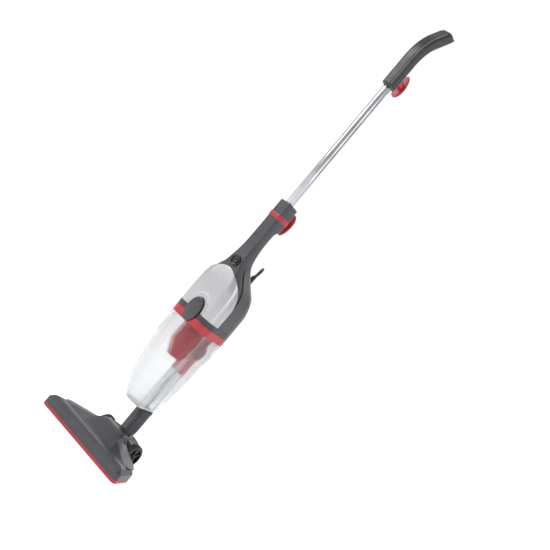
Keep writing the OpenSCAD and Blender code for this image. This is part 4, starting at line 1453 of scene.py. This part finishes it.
@dataclass
class FilterGroup:
    """Red filter cup with its band, the intake hood and the pleated filter."""

    cup_y: float = 28.0
    inlet_y: float = 84.0
    hood_y: float = 78.0
    hood_z: float = 283.0

    def cup(self) -> bpy.types.Object:
        """Red band and the stepped cup that hangs from it, with a windowed back."""
        levels = [324.1, 324.5, 325.2, 333.0, 339.9, 340.6, 341.0]
        insets = [0.5, 0.15, 0.0, 0.0, 0.0, 0.15, 0.5]
        band = wall(
            "filter_housing",
            [FORM.ring(z, t) for z, t in zip(levels, insets)],
            [FORM.ring(z, 2.8) for z in levels],
        )
        plate = loft("housing_plate", [FORM.ring(z, 2.6) for z in (329.8, 335.2)])
        profile = [
            (0, 247), (12.6, 247), (13.5, 248), (16.6, 257.6), (17.4, 258.6), (24.6, 275), (26, 276.4),
            (26, 334), (0, 334),
        ]
        cup = turned("cup_solid", profile, at(0, self.cup_y, 0), 72)
        combine(band, [plate, cup], "UNION")
        inside = [(0, 260), (15.2, 260), (23.6, 277.2), (23.6, 360), (0, 360)]
        bore = turned("cup_bore", inside, at(0, self.cup_y, 0), 64)
        duct = rod("duct_bore", 16.7, 300, 360, at(0, self.inlet_y, 0), 64)
        cuts = [bore, duct, HandUnit().pocket(-20.5)]
        for k in range(5):
            a = math.radians(20 + 35 * k)
            slot = block("window_cut", (18, -3, 281), (32, 3, 318))
            slot.data.transform(Matrix.Rotation(a, 4, "Z"))
            slot.data.transform(Matrix.Translation((0, self.cup_y * MM, 0)))
            cuts.append(slot)
        return soften(combine(band, cuts, "DIFFERENCE"), 0.45, 2, 38)

    def hood(self) -> bpy.types.Object:
        """Intake hood: a drum across the duct with its open mouth facing +X."""
        tube = turned(
            "intake_cowl",
            [(15, 223.4), (15.6, 223), (16.2, 223.2), (16.4, 224), (16.4, 329), (15, 329)],
            at(0, self.inlet_y, 0), 64,
        )
        drum = turned(
            "hood_drum",
            [
                (0, -19), (17.4, -19), (18.9, -18.4), (19.4, -17), (19.4, 17.8), (18.9, 18.8), (18.2, 19),
                (17.6, 18.4), (17.4, 17.6), (17.4, -17), (0, -17),
            ],
            at(0, self.hood_y, self.hood_z, TO_X), 72,
        )
        bore = rod("hood_bore", 15, 220, 283, at(0, self.inlet_y, 0), 64)
        mouth = rod("hood_mouth", 17.35, -16.9, 30, at(0, self.hood_y, self.hood_z, TO_X))
        combine(tube, [drum], "UNION")
        combine(tube, [bore, mouth], "DIFFERENCE")
        return crisp(tube, 35)

    def pleats(self) -> bpy.types.Object:
        """Pleated paper cartridge between two end rings."""
        points_per_pleat, pleats = 8, 26
        count = points_per_pleat * pleats
        outline = []
        for i in range(count):
            a = 2 * math.pi * i / count
            wave = abs(((i % points_per_pleat) / 4) - 1)
            r = 18.4 + 4.4 * (wave * wave * (3 - 2 * wave))
            outline.append((r * math.cos(a), self.cup_y + r * math.sin(a)))
        paper = loft("filter_cartridge", [[(x, y, z) for x, y in outline] for z in (280.0, 305.0, 331.0)])
        cap = [(0, 0), (22.6, 0), (23.0, 0.5), (23.0, 2.0), (22.4, 2.6), (0, 2.6)]
        caps = [turned("cartridge_cap", cap, at(0, self.cup_y, z), 56) for z in (277.6, 330.2)]
        return crisp(combine(paper, caps, "UNION"), 30)

    def gasket(self) -> bpy.types.Object:
        """Soft ring that seals the cartridge against the motor seat."""
        profile = [(23, 0.4), (23.6, 0), (27.9, 0), (28.5, 0.6), (28.5, 2.4), (27.9, 3), (23.6, 3), (23, 2.4)]
        return crisp(turned("cartridge_seal", profile, at(0, self.cup_y, 335.15), 64), 50)

    def build(self) -> None:
        """Makes the filter group's pieces."""
        place_all(
            # Cup and hood take the brightened red: painted light inside the clear container.
            (self.cup, Body.HAND, RED_CUP_PAINTED_LIGHT, "red_plastic", "filter_cup"),
            (self.hood, Body.HAND, RED_CUP_PAINTED_LIGHT, "red_plastic", "intake_hood"),
            (self.pleats, Body.HAND, PAPER, "filter_paper", "pleated_filter"),
            (self.gasket, Body.HAND, SEAL, "black_rubber", "filter_gasket"),
        )


# ---------------------------------------------------------------- handle


@dataclass
class Handle:
    """Steel tube with the bent grip, its cap and the turning upper cord hook."""

    grip_z: float = 957.0
    bend_z: float = 1027.0
    bend_radius: float = 110.0
    bend: float = 37.0
    cut_z: float = 1132.0
    hook_z: float = 984.0

    def station(self, s: float, x: float, depth: float) -> tuple[float, float, float]:
        """Point of the grip: s along it, x across it, depth towards its back."""
        u = s - self.bend_z
        whole = self.bend_radius * math.radians(self.bend)
        a = 0.0 if u < 0 else min(math.radians(self.bend), u / self.bend_radius)
        extra = max(0.0, u - whole)
        y = self.bend_radius * (1 - math.cos(a)) + extra * math.sin(a)
        z = s if u < 0 else self.bend_z + self.bend_radius * math.sin(a) + extra * math.cos(a)
        return (x, y + depth * math.cos(a), z - depth * math.sin(a))

    def grip_ring(self, s: float, t: float) -> Ring:
        """Outline of the grip at distance s, inset by t."""
        outline = rounded_box(0, -1, 13.2 - t, 14.2 - t, 7.5 - t, 0, 8)
        return [self.station(s, p[0], p[1]) for p in outline]

    def tube(self) -> bpy.types.Object:
        """Polished steel tube with rolled ends."""
        profile = [
            (8.5, 561.4), (8.8, 561), (9.2, 561), (9.5, 561.4), (9.5, 1005.6), (9.2, 1006), (8.5, 1006),
        ]
        return crisp(turned("steel_wand", profile, at(0, 0, 0), 96), 50)

    def grip(self) -> bpy.types.Object:
        """Charcoal grip, bevelled below and cut level at its top."""
        stops = [(self.grip_z, 2.6), (self.grip_z + 1.2, 1.2), (self.grip_z + 3.4, 0.0)]
        stops += [(s, 0.0) for s in steps_between(self.grip_z + 8, self.bend_z + 140, 4.0)]
        body = loft("grip_moulding", [self.grip_ring(s, t) for s, t in stops])
        cuts = [
            rod("tube_bore", 9.54, 900, 1006.2, at(0, 0, 0), 64),
            block("level_cut", (-40, -60, self.cut_z), (40, 180, 1200)),
            rod("pin_bore", 4.06, 0, 12, at(0, 8, self.hook_z, TO_Y), 32),
        ]
        return soften(combine(body, cuts, "DIFFERENCE"), 0.5, 2, 40)

    def lines(self) -> bpy.types.Object:
        """Two raised lines along the grip's front corners, coloured light grey as a painted highlight on
        those corners.
        """
        rows = []
        for side in (-1, 1):
            rings = []
            for s in steps_between(self.grip_z + 4.5, self.bend_z + 118, 4.0):
                x = side * 9.3
                section = ((-0.9, -14.55), (-0.55, -15.45), (0.55, -15.3), (0.95, -14.2))
                rings.append([self.station(s, x + side * dx, d) for dx, d in section][:: side])
            rows.append(loft("grip_lines", rings))
        bar = combine(rows[0], [rows[1]], "UNION")
        combine(bar, [block("line_cut", (-40, -60, 1130.5), (40, 180, 1200))], "DIFFERENCE")
        return crisp(bar, 45)

    def cap(self) -> bpy.types.Object:
        """Cap on the grip's level top."""
        whole = loft("grip_end", [self.grip_ring(self.bend_z + s, 0.35) for s in (60, 80, 100, 120, 140)])
        keep = block("cap_keep", (-40, -60, self.cut_z + 0.05), (40, 180, self.cut_z + 4.9))
        return soften(combine(whole, [keep], "INTERSECT"), 1.0, 3, 40)

    def hook(self) -> bpy.types.Object:
        """Red upper cord hook that turns on its pin."""
        sleeve = [(4.06, 0), (7.4, 0), (8, 0.6), (8, 24), (4.06, 24)]
        stem = turned("cord_hook_upper", sleeve, at(0, 13.5, self.hook_z, TO_Y), 48)
        combine(stem, [paddle("hook_paddle", 36.0, self.hook_z, True)], "UNION")
        bore = rod("pin_bore", 4.06, 0, 60, at(0, 5, self.hook_z, TO_Y), 32)
        return soften(combine(stem, [bore], "DIFFERENCE"), 0.5, 2, 45)

    def pin(self) -> bpy.types.Object:
        """Pin of the upper hook with its domed retaining head."""
        profile = [(0, 9.6), (4, 9.6), (4, 40.5), (6, 40.5), (6, 41.4), (5.2, 42), (3, 42.1), (0, 42.1)]
        return crisp(turned("hook_pivot", profile, at(0, 0, self.hook_z, TO_Y), 32), 35)

    def build(self) -> None:
        """Makes the handle's pieces."""
        place_all(
            (self.tube, Body.HANDLE, TUBE, "steel", "steel_tube"),
            (self.grip, Body.HANDLE, GRIP_CHARCOAL, "shell_charcoal", "grip"),
            # The grip's corner lines wear the painted-highlight grey.
            (self.lines, Body.HANDLE, GRIP_HIGHLIGHT_LINE, "shell_charcoal"),
            (self.cap, Body.HANDLE, DARK, "trim_dark", "grip_cap"),
            (self.pin, Body.HANDLE, STEEL, "steel", "hook_pin"),
            (self.hook, Body.CORD_HOOK, RED, "red_plastic", "upper_hook"),
        )


# ---------------------------------------------------------------- neck


@dataclass
class Neck:
    """Charcoal neck that plugs onto the container's duct and hinges on the floor head."""

    hinge_y: float = 77.0
    axle_z: float = 28.5
    inlet_y: float = 84.0
    top: float = 122.6

    def tube(self) -> bpy.types.Object:
        """Hinge drum, riser and socket in one moulding."""
        drum = turned(
            "neck_moulding",
            [
                (0, -33.6), (5.6, -33.6), (6, -33.2), (6, -30), (19.2, -30), (20, -29.2), (20, 29.2),
                (19.2, 30), (6, 30), (6, 33.2), (5.6, 33.6), (0, 33.6),
            ],
            at(0, self.hinge_y, self.axle_z, TO_X), 72,
        )
        riser = loft(
            "neck_riser",
            [
                rounded_box(0, 77, 16, 16, 15.5, 36, 12), rounded_box(0, 79, 16.4, 16.4, 16.0, 44, 12),
                rounded_box(0, 81, 17, 17, 16.8, 52, 12), rounded_box(0, 83.4, 17.5, 17.5, 17.3, 61, 12),
                rounded_box(0, 84, 17.8, 17.8, 17.7, 70, 12),
            ],
        )
        sleeve = turned(
            "neck_sleeve",
            [
                (0, 69.5), (18.2, 69.5), (18.2, 113), (19, 113.8), (19, 119), (18.2, 119.8), (18.2, 122.1),
                (17.7, 122.6), (0, 122.6),
            ],
            at(0, self.inlet_y, 0), 72,
        )
        barb = block("neck_barb", (-3, self.inlet_y + 17, 104.6), (3, self.inlet_y + 22, 118.6))
        combine(drum, [riser, sleeve, barb], "UNION")
        tooth = block("rim_notch", (14.0, -2.2, self.top - 2.6), (22.0, 2.2, self.top + 2))
        ring = Repeater(Pattern.CIRCLE, 6, (0, self.inlet_y, 0), turn=(0, 0, math.radians(30)))
        notches = ring.make("rim_notches", tooth, CHARCOAL)
        face_out(notches)
        cuts = [
            notches,
            rod("spigot_bore", 16.06, 94, 160, at(0, 84, 0), 64),
            rod("riser_bore", 13, 60, 110, at(0, 84, 0), 48),
            rod("lower_bore", 13, 26, 66, at(0, 80.5, 0), 48),
            block("drum_way", (-13, 40, 17), (13, 78, 40)),
        ]
        return soften(combine(drum, cuts, "DIFFERENCE"), 0.35, 2, 38)

    def seal(self) -> bpy.types.Object:
        """Lip seal at the foot of the socket."""
        profile = [
            (13.2, 94.4), (13.6, 94.05), (15.6, 94.05), (15.6, 96.3), (15.2, 96.65), (13.9, 96.65),
            (13.2, 95.8),
        ]
        return crisp(turned("spigot_seal", profile, at(0, self.inlet_y, 0), 56), 50)

    def build(self) -> None:
        """Makes the neck's pieces."""
        place_all(
            (self.tube, Body.NECK, CHARCOAL, "shell_charcoal", "neck_tube"),
            (self.seal, Body.NECK, SEAL, "black_rubber", "neck_seal"),
        )


# ---------------------------------------------------------------- floor head


@dataclass
class Wheel:
    """One wheel: a spoked hub and a soft tyre with a ribbed tread."""

    side: Side
    axis_y: float = 77.0
    axis_z: float = 28.5
    radius: float = 28.5
    inner_face: float = 43.0
    ribs: int = 56

    def place(self) -> Matrix:
        """Wheel axis pointing outwards, from its inner face."""
        if self.side is Side.RIGHT:
            return at(self.inner_face, self.axis_y, self.axis_z, TO_X)
        return at(-self.inner_face, self.axis_y, self.axis_z, TO_MINUS_X)

    def hub(self) -> bpy.types.Object:
        """Black hub with a rim, a recessed disc and six spokes."""
        profile = [
            (3.05, 0), (8, 0), (8, 5), (22, 5), (22, 0.4), (22.4, 0), (25, 0), (25, 14), (22.6, 14),
            (22, 13.4), (22, 9.2), (9.2, 9.2), (8, 10.4), (8, 13.4), (7.4, 14), (3.05, 14),
        ]
        hub = turned("wheel_centre_" + self.side.value, profile, self.place(), 64)
        spoke = block("spoke", (7.5, -1.1, 9.0), (22.4, 1.1, 12.0))
        ring = Repeater(Pattern.CIRCLE, 6)
        spokes = ring.make("wheel_spokes_" + self.side.value, spoke, BLACK)
        spokes.data.transform(Matrix.Scale(MM, 4) @ self.place() @ Matrix.Scale(1 / MM, 4))
        face_out(spokes)
        return soften(combine(hub, [spokes], "UNION"), 0.3, 2, 40)

    def tyre(self) -> bpy.types.Object:
        """Tyre with rounded shoulders and a tread of fine cross ribs."""
        r = self.radius - 0.55
        profile = [
            (25.02, 0.5), (26.6, 0.5), (r - 0.6, 1.4), (r, 2.7), (r, 11.3), (r - 0.6, 12.6), (26.6, 13.5),
            (25.02, 13.5),
        ]
        body = turned("wheel_tyre_" + self.side.value, profile, self.place(), 112)
        rib = loft(
            "tread_rib",
            [
                [(r - 0.5, -0.75, h), (r + t, -0.45, h), (r + t, 0.45, h), (r - 0.5, 0.75, h)]
                for h, t in ((1.9, 0.0), (2.7, 0.53), (11.3, 0.53), (12.1, 0.0))
            ],
        )
        ring = Repeater(Pattern.CIRCLE, self.ribs)
        tread = ring.make("wheel_tread_" + self.side.value, rib, TYRE)
        tread.data.transform(Matrix.Scale(MM, 4) @ self.place() @ Matrix.Scale(1 / MM, 4))
        face_out(tread)
        return crisp(combine(body, [tread], "UNION"), 30)

    def build(self) -> None:
        """Makes the wheel's pieces."""
        body = Body.WHEEL_RIGHT if self.side is Side.RIGHT else Body.WHEEL_LEFT
        place_piece(self.hub(), body, BLACK, ["wheel_hub_" + self.side.value])
        place_piece(self.tyre(), body, TYRE, ["tyre_" + self.side.value])


@dataclass
class FloorHead:
    """Wide floor head: cover, raised housing, sole, red edge trim, lint pads and axles."""

    width: float = 254.0
    front: float = -42.0
    back: float = 32.0
    cover_z: float = 5.6
    hinge_y: float = 77.0
    axle_z: float = 28.5
    foot: tuple = ((30, -10.5), (104, -10.5), (112, -2), (112, 18), (98, 33), (30, 46.5))
    top: tuple = ((30, 14), (40, 14), (46, 22), (46, 40), (44, 45), (30, 46.4))
    hollow_foot: tuple = ((28, -5.5), (98, -5.5), (104, 1), (104, 16), (94, 29.5), (28, 44))
    hollow_top: tuple = ((28, 16), (38, 16), (43, 23), (43, 38), (41.5, 42.4), (28, 44))

    def apron(self, a: float, y0: float, y1: float, z: float) -> Ring:
        """Rectangle of half width a from y0 to y1 at height z."""
        return [(-a, y0, z), (a, y0, z), (a, y1, z), (-a, y1, z)]

    def shoulder(self, side: int, points: Sequence[tuple[float, float]], z: float) -> Ring:
        """Outline of one shoulder at height z, mirrored for the left side."""
        return [(side * x, y, z) for x, y in (points if side > 0 else points[::-1])]

    def plan(self, z: float, t: float) -> Ring:
        """Outline of the floor head at height z, inset by t."""
        f, b, k = self.front + t, self.back - t, 0.2
        r = max(9 - t, 1.5)
        p = self.width / 2 - t
        q = p - k * (b - f)
        return (
            arc(p - r, f + r, r, 270, 372, z, 9) + arc(q - r, b - r, r, 12, 90, z, 8)
            + arc(r - q, b - r, r, 90, 168, z, 8) + arc(r - p, f + r, r, 168, 270, z, 9)
        )

    def cover(self) -> bpy.types.Object:
        """Charcoal cover with a low front face, a lighter chamfer and a crowned top."""
        levels = [
            (self.cover_z, 0.0), (6.2, 0.0), (19.4, 0.0), (20.4, 0.25), (21.2, 1.0), (25.0, 4.9), (28.8, 8.8),
            (29.5, 9.8), (30.7, 13.0), (32.0, 18.6),
        ]
        outer = [self.plan(z, t) for z, t in levels]
        inner = [self.plan(z if z < 7 else z - 2.0, t + 2.4) for z, t in levels]
        cover = wall("head_top", outer, inner, roof=True)
        cuts = [
            block("throat_cut", (-37, -13, 18), (37, 47, 38)), block("back_cut", (-37, 27, 0), (37, 47, 40)),
        ]
        return soften(combine(cover, cuts, "DIFFERENCE"), 0.5, 2, 25)

    def housing(self) -> bpy.types.Object:
        """Raised housing with a sloping shoulder each side and a cheek each side of the hinge drum."""
        cheek_in, cheek_out = 30.3, 39.0
        hinge = at(0, self.hinge_y, self.axle_z, TO_X)
        outer = loft(
            "head_hump",
            [
                rounded_box(0, 24, 36.7, 36.7, 4, 27), rounded_box(0, 24, 36.7, 36.7, 4, 31),
                rounded_box(0, 38, 35.5, 22, 8, 48), rounded_box(0, 44, 33.5, 14, 8, 57),
                rounded_box(0, 46, 30, 8, 6, 60),
            ],
        )
        slopes = [loft("head_apron", [self.apron(53, -11, 47, 32.1), self.apron(35, 32, 47, 57)])]
        hollows = [
            loft("apron_hollow", [self.apron(50.8, -8.1, 44.6, 31), self.apron(33.9, 32.3, 44.6, 54.4)])
        ]
        for side in (1, -1):
            for group, low, low_z, high, high_z in (
                (slopes, self.foot, 32.1, self.top, 46.5),
                (hollows, self.hollow_foot, 31.0, self.hollow_top, 43.8),
            ):
                rings = [self.shoulder(side, low, low_z), self.shoulder(side, high, high_z)]
                group.append(loft("head_slope", rings))
        combine(outer, slopes, "UNION")
        cheeks = []
        for x0, x1 in ((-cheek_out, -cheek_in), (cheek_in, cheek_out)):
            cheeks.append(rod("cheek", 21, x0, x1, hinge, 64))
            cheeks.append(block("cheek_web", (x0, 44, 6), (x1, 77, 38)))
        hollow = loft(
            "hump_hollow",
            [
                rounded_box(0, 24, 34.2, 34.2, 3, 26), rounded_box(0, 24, 34.2, 34.2, 3, 29.5),
                rounded_box(0, 38, 33, 19.5, 6, 46), rounded_box(0, 44, 31, 11.5, 6, 54.5),
                rounded_box(0, 46, 27.5, 5.5, 4, 57),
            ],
        )
        hollows += [hollow, block("back_open", (-cheek_in, 50, 0), (cheek_in, 110, 80))]
        combine(outer, hollows, "DIFFERENCE")
        combine(outer, cheeks, "UNION")
        cuts = [
            rod("pin_bore", 6.05, -33.8, 33.8, hinge, 40),
            rod("axle_bore", 3.02, -50, 50, hinge, 32),
            rod("drum_bore", 20.5, -cheek_in, cheek_in, hinge, 72),
        ]
        return soften(combine(outer, cuts, "DIFFERENCE"), 0.7, 3, 22)

    def sole(self) -> bpy.types.Object:
        """Dark sole plate with the suction mouth and pad recesses."""
        plate = loft("head_sole", [self.plan(0.0, 3.6), self.plan(0.5, 3.0), self.plan(4.0, 3.0)])
        tongue = block("sole_tongue", (-34, 20, 0), (34, 56, 4))
        cuts = [block("mouth_cut", (-104, -31, -1), (104, -15, 5))]
        cuts += [block("pad_cut", (x, -10, -1), (x + 98, -3, 1.6)) for x in (-110, 12)]
        wells = [(-100, 10), (100, 10), (-26, 48), (26, 48)]
        cuts += [rod("well_cut", 3.4, -1, 1.6, at(x, y, 0), 32) for x, y in wells]
        combine(plate, [tongue], "UNION")
        return soften(combine(plate, cuts, "DIFFERENCE"), 0.3, 2, 40)

    def trim(self) -> bpy.types.Object:
        """Red edge that runs round between the sole and the cover, higher at its two ends."""
        def lift(p: Point, z: float) -> tuple[float, float, float]:
            rise = max(0.0, min(1.0, (abs(p[0]) - 108) / 14))
            return (p[0], p[1], z + (2.4 * rise * rise * (3 - 2 * rise) if z > 3 else 0.0))
        rows = ((0.8, 0.35), (1.2, 0.0), (5.0, -0.25), (5.4, 0.0))
        outer = [[lift(p, z) for p in self.plan(z, t)] for z, t in rows]
        inner = [[(p[0], p[1], min(z, 5.4)) for p in self.plan(z, 2.9)] for z, _ in rows]
        ring = wall("head_edge", outer, inner)
        combine(ring, [block("trim_cut", (-37, 26, 0), (37, 36, 8))], "DIFFERENCE")
        return soften(face_out(ring), 0.25, 2, 40)

    def pads(self) -> bpy.types.Object:
        """Two lint pads of short red pile, as rows of tufts on a backing."""
        tuft = loft(
            "tuft",
            [[(-0.9, -0.9, 1.5), (-0.9, 0.9, 1.5), (0.9, 0.9, 1.5), (0.9, -0.9, 1.5)][::-1],
             [(-0.5, -0.7, 0.25), (-0.5, 0.5, 0.25), (0.5, 0.5, 0.25), (0.5, -0.7, 0.25)][::-1]],
        )
        row = Repeater(Pattern.LINE, 49, (-108.2, -8.2, 0.0), (1.96, 0.0, 0.0))
        strip = row.make("pile_row", tuft, LINT)
        stack = Repeater(Pattern.LINE, 3, (0, 0, 0), (0.0, 1.8, 0.0)).make("pile_block", strip, LINT)
        pair = Repeater(Pattern.LINE, 2, (0, 0, 0), (121.8, 0.0, 0.0)).make("lint_pile", stack, LINT)
        return crisp(pair, 30)

    def throat(self) -> bpy.types.Object:
        """Air way from the mouth to the hinge drum."""
        rows = [(-14, 80, 4.2, 14), (-2, 52, 4.6, 18), (16, 28, 6.5, 24), (40, 20, 10, 36), (56, 17, 12, 42)]
        outer, inner = (
            [
                upright_box(a - t, (hi - lo) / 2 - t, max(0.6, 3 - t), (lo + hi) / 2, y, 4)
                for y, a, lo, hi in rows
            ]
            for t in (0.0, 1.6)
        )
        duct = face_out(wall("head_throat", outer, inner))
        bore = rod("drum_bore", 20.3, -40, 40, at(0, self.hinge_y, self.axle_z, TO_X), 72)
        return crisp(combine(duct, [bore], "DIFFERENCE"), 35)

    def axle(self, side: Side) -> bpy.types.Object:
        """Stub axle with a domed retaining clip outside the hub."""
        turn = TO_X if side is Side.RIGHT else TO_MINUS_X
        profile = [(0, 34), (2.6, 34), (3, 34.4), (3, 57.4), (5, 57.4), (5, 58.6), (4.2, 59.3), (0, 59.4)]
        place = at(0, self.hinge_y, self.axle_z, turn)
        return crisp(turned("stub_axle_" + side.value, profile, place, 32), 35)

    def build(self) -> None:
        """Makes the floor head's pieces."""
        place_all(
            (self.cover, Body.HEAD, CHARCOAL, "shell_charcoal", "head_cover"),
            (self.housing, Body.HEAD, CHARCOAL, "shell_charcoal", "head_housing"),
            (self.sole, Body.HEAD, DARK, "trim_dark", "sole_plate"),
            (self.trim, Body.HEAD, RED, "red_plastic", "edge_trim"),
            (self.pads, Body.HEAD, LINT, "lint_fabric", "lint_pads"),
            (self.throat, Body.HEAD, DARK, "trim_dark", "throat_duct"),
        )
        for side in Side:
            place_piece(self.axle(side), Body.HEAD, BLUED, ["axle_" + side.value])
            Wheel(side).build()
        shape = screw_shape("sole_screw_shape", 2.9)
        shape.data.transform(Matrix.Rotation(math.pi, 4, "X"))
        wide = Repeater(Pattern.LINE, 2, (-100, 10, 0.3), (200, 0, 0)).make("sole_fixings", shape, STEEL)
        shape = screw_shape("sole_screw_shape", 2.9)
        shape.data.transform(Matrix.Rotation(math.pi, 4, "X"))
        near = Repeater(Pattern.LINE, 2, (-26, 48, 0.3), (52, 0, 0)).make("tongue_fixings", shape, STEEL)
        place_piece(wide, Body.HEAD, STEEL, ["sole_screws"])
        place_piece(near, Body.HEAD, STEEL)


# ---------------------------------------------------------------- inner parts


@dataclass
class Internals:
    """Finishes of the inner parts, which keep their CAD shapes."""

    finishes: tuple[tuple[str, Any], ...] = (
        ("motor_can", STEEL), ("armature", COPPER), ("impeller", ALLOY), ("fan_cover", STEEL),
        ("motor_cushions", SEAL), ("bearings", STEEL), ("noise_capacitor", MYLAR), ("exhaust_foam", FOAM),
        ("switch_body", BLACK), ("release_spring", STEEL),
    )

    def build(self) -> None:
        """Dresses every CAD node; pieces that stand for one keep their own finish."""
        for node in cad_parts.values():
            dress(node, DARK)
        for name, finish in self.finishes:
            dress(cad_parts[name], finish)
            LOG.info("%s keeps its CAD shape", name)


def main() -> None:
    """Builds the studio, then the cord, then each sub-assembly."""
    logging.basicConfig(level=logging.INFO, format="%(name)s: %(message)s")
    studio = Studio()
    studio.camera()
    studio.floor()
    studio.lights()
    Internals().build()
    for part in (MainsCord(), HandUnit(), DustContainer(), FilterGroup(), Handle(), Neck(), FloorHead()):
        part.build()


if __name__ == "__main__":
    main()
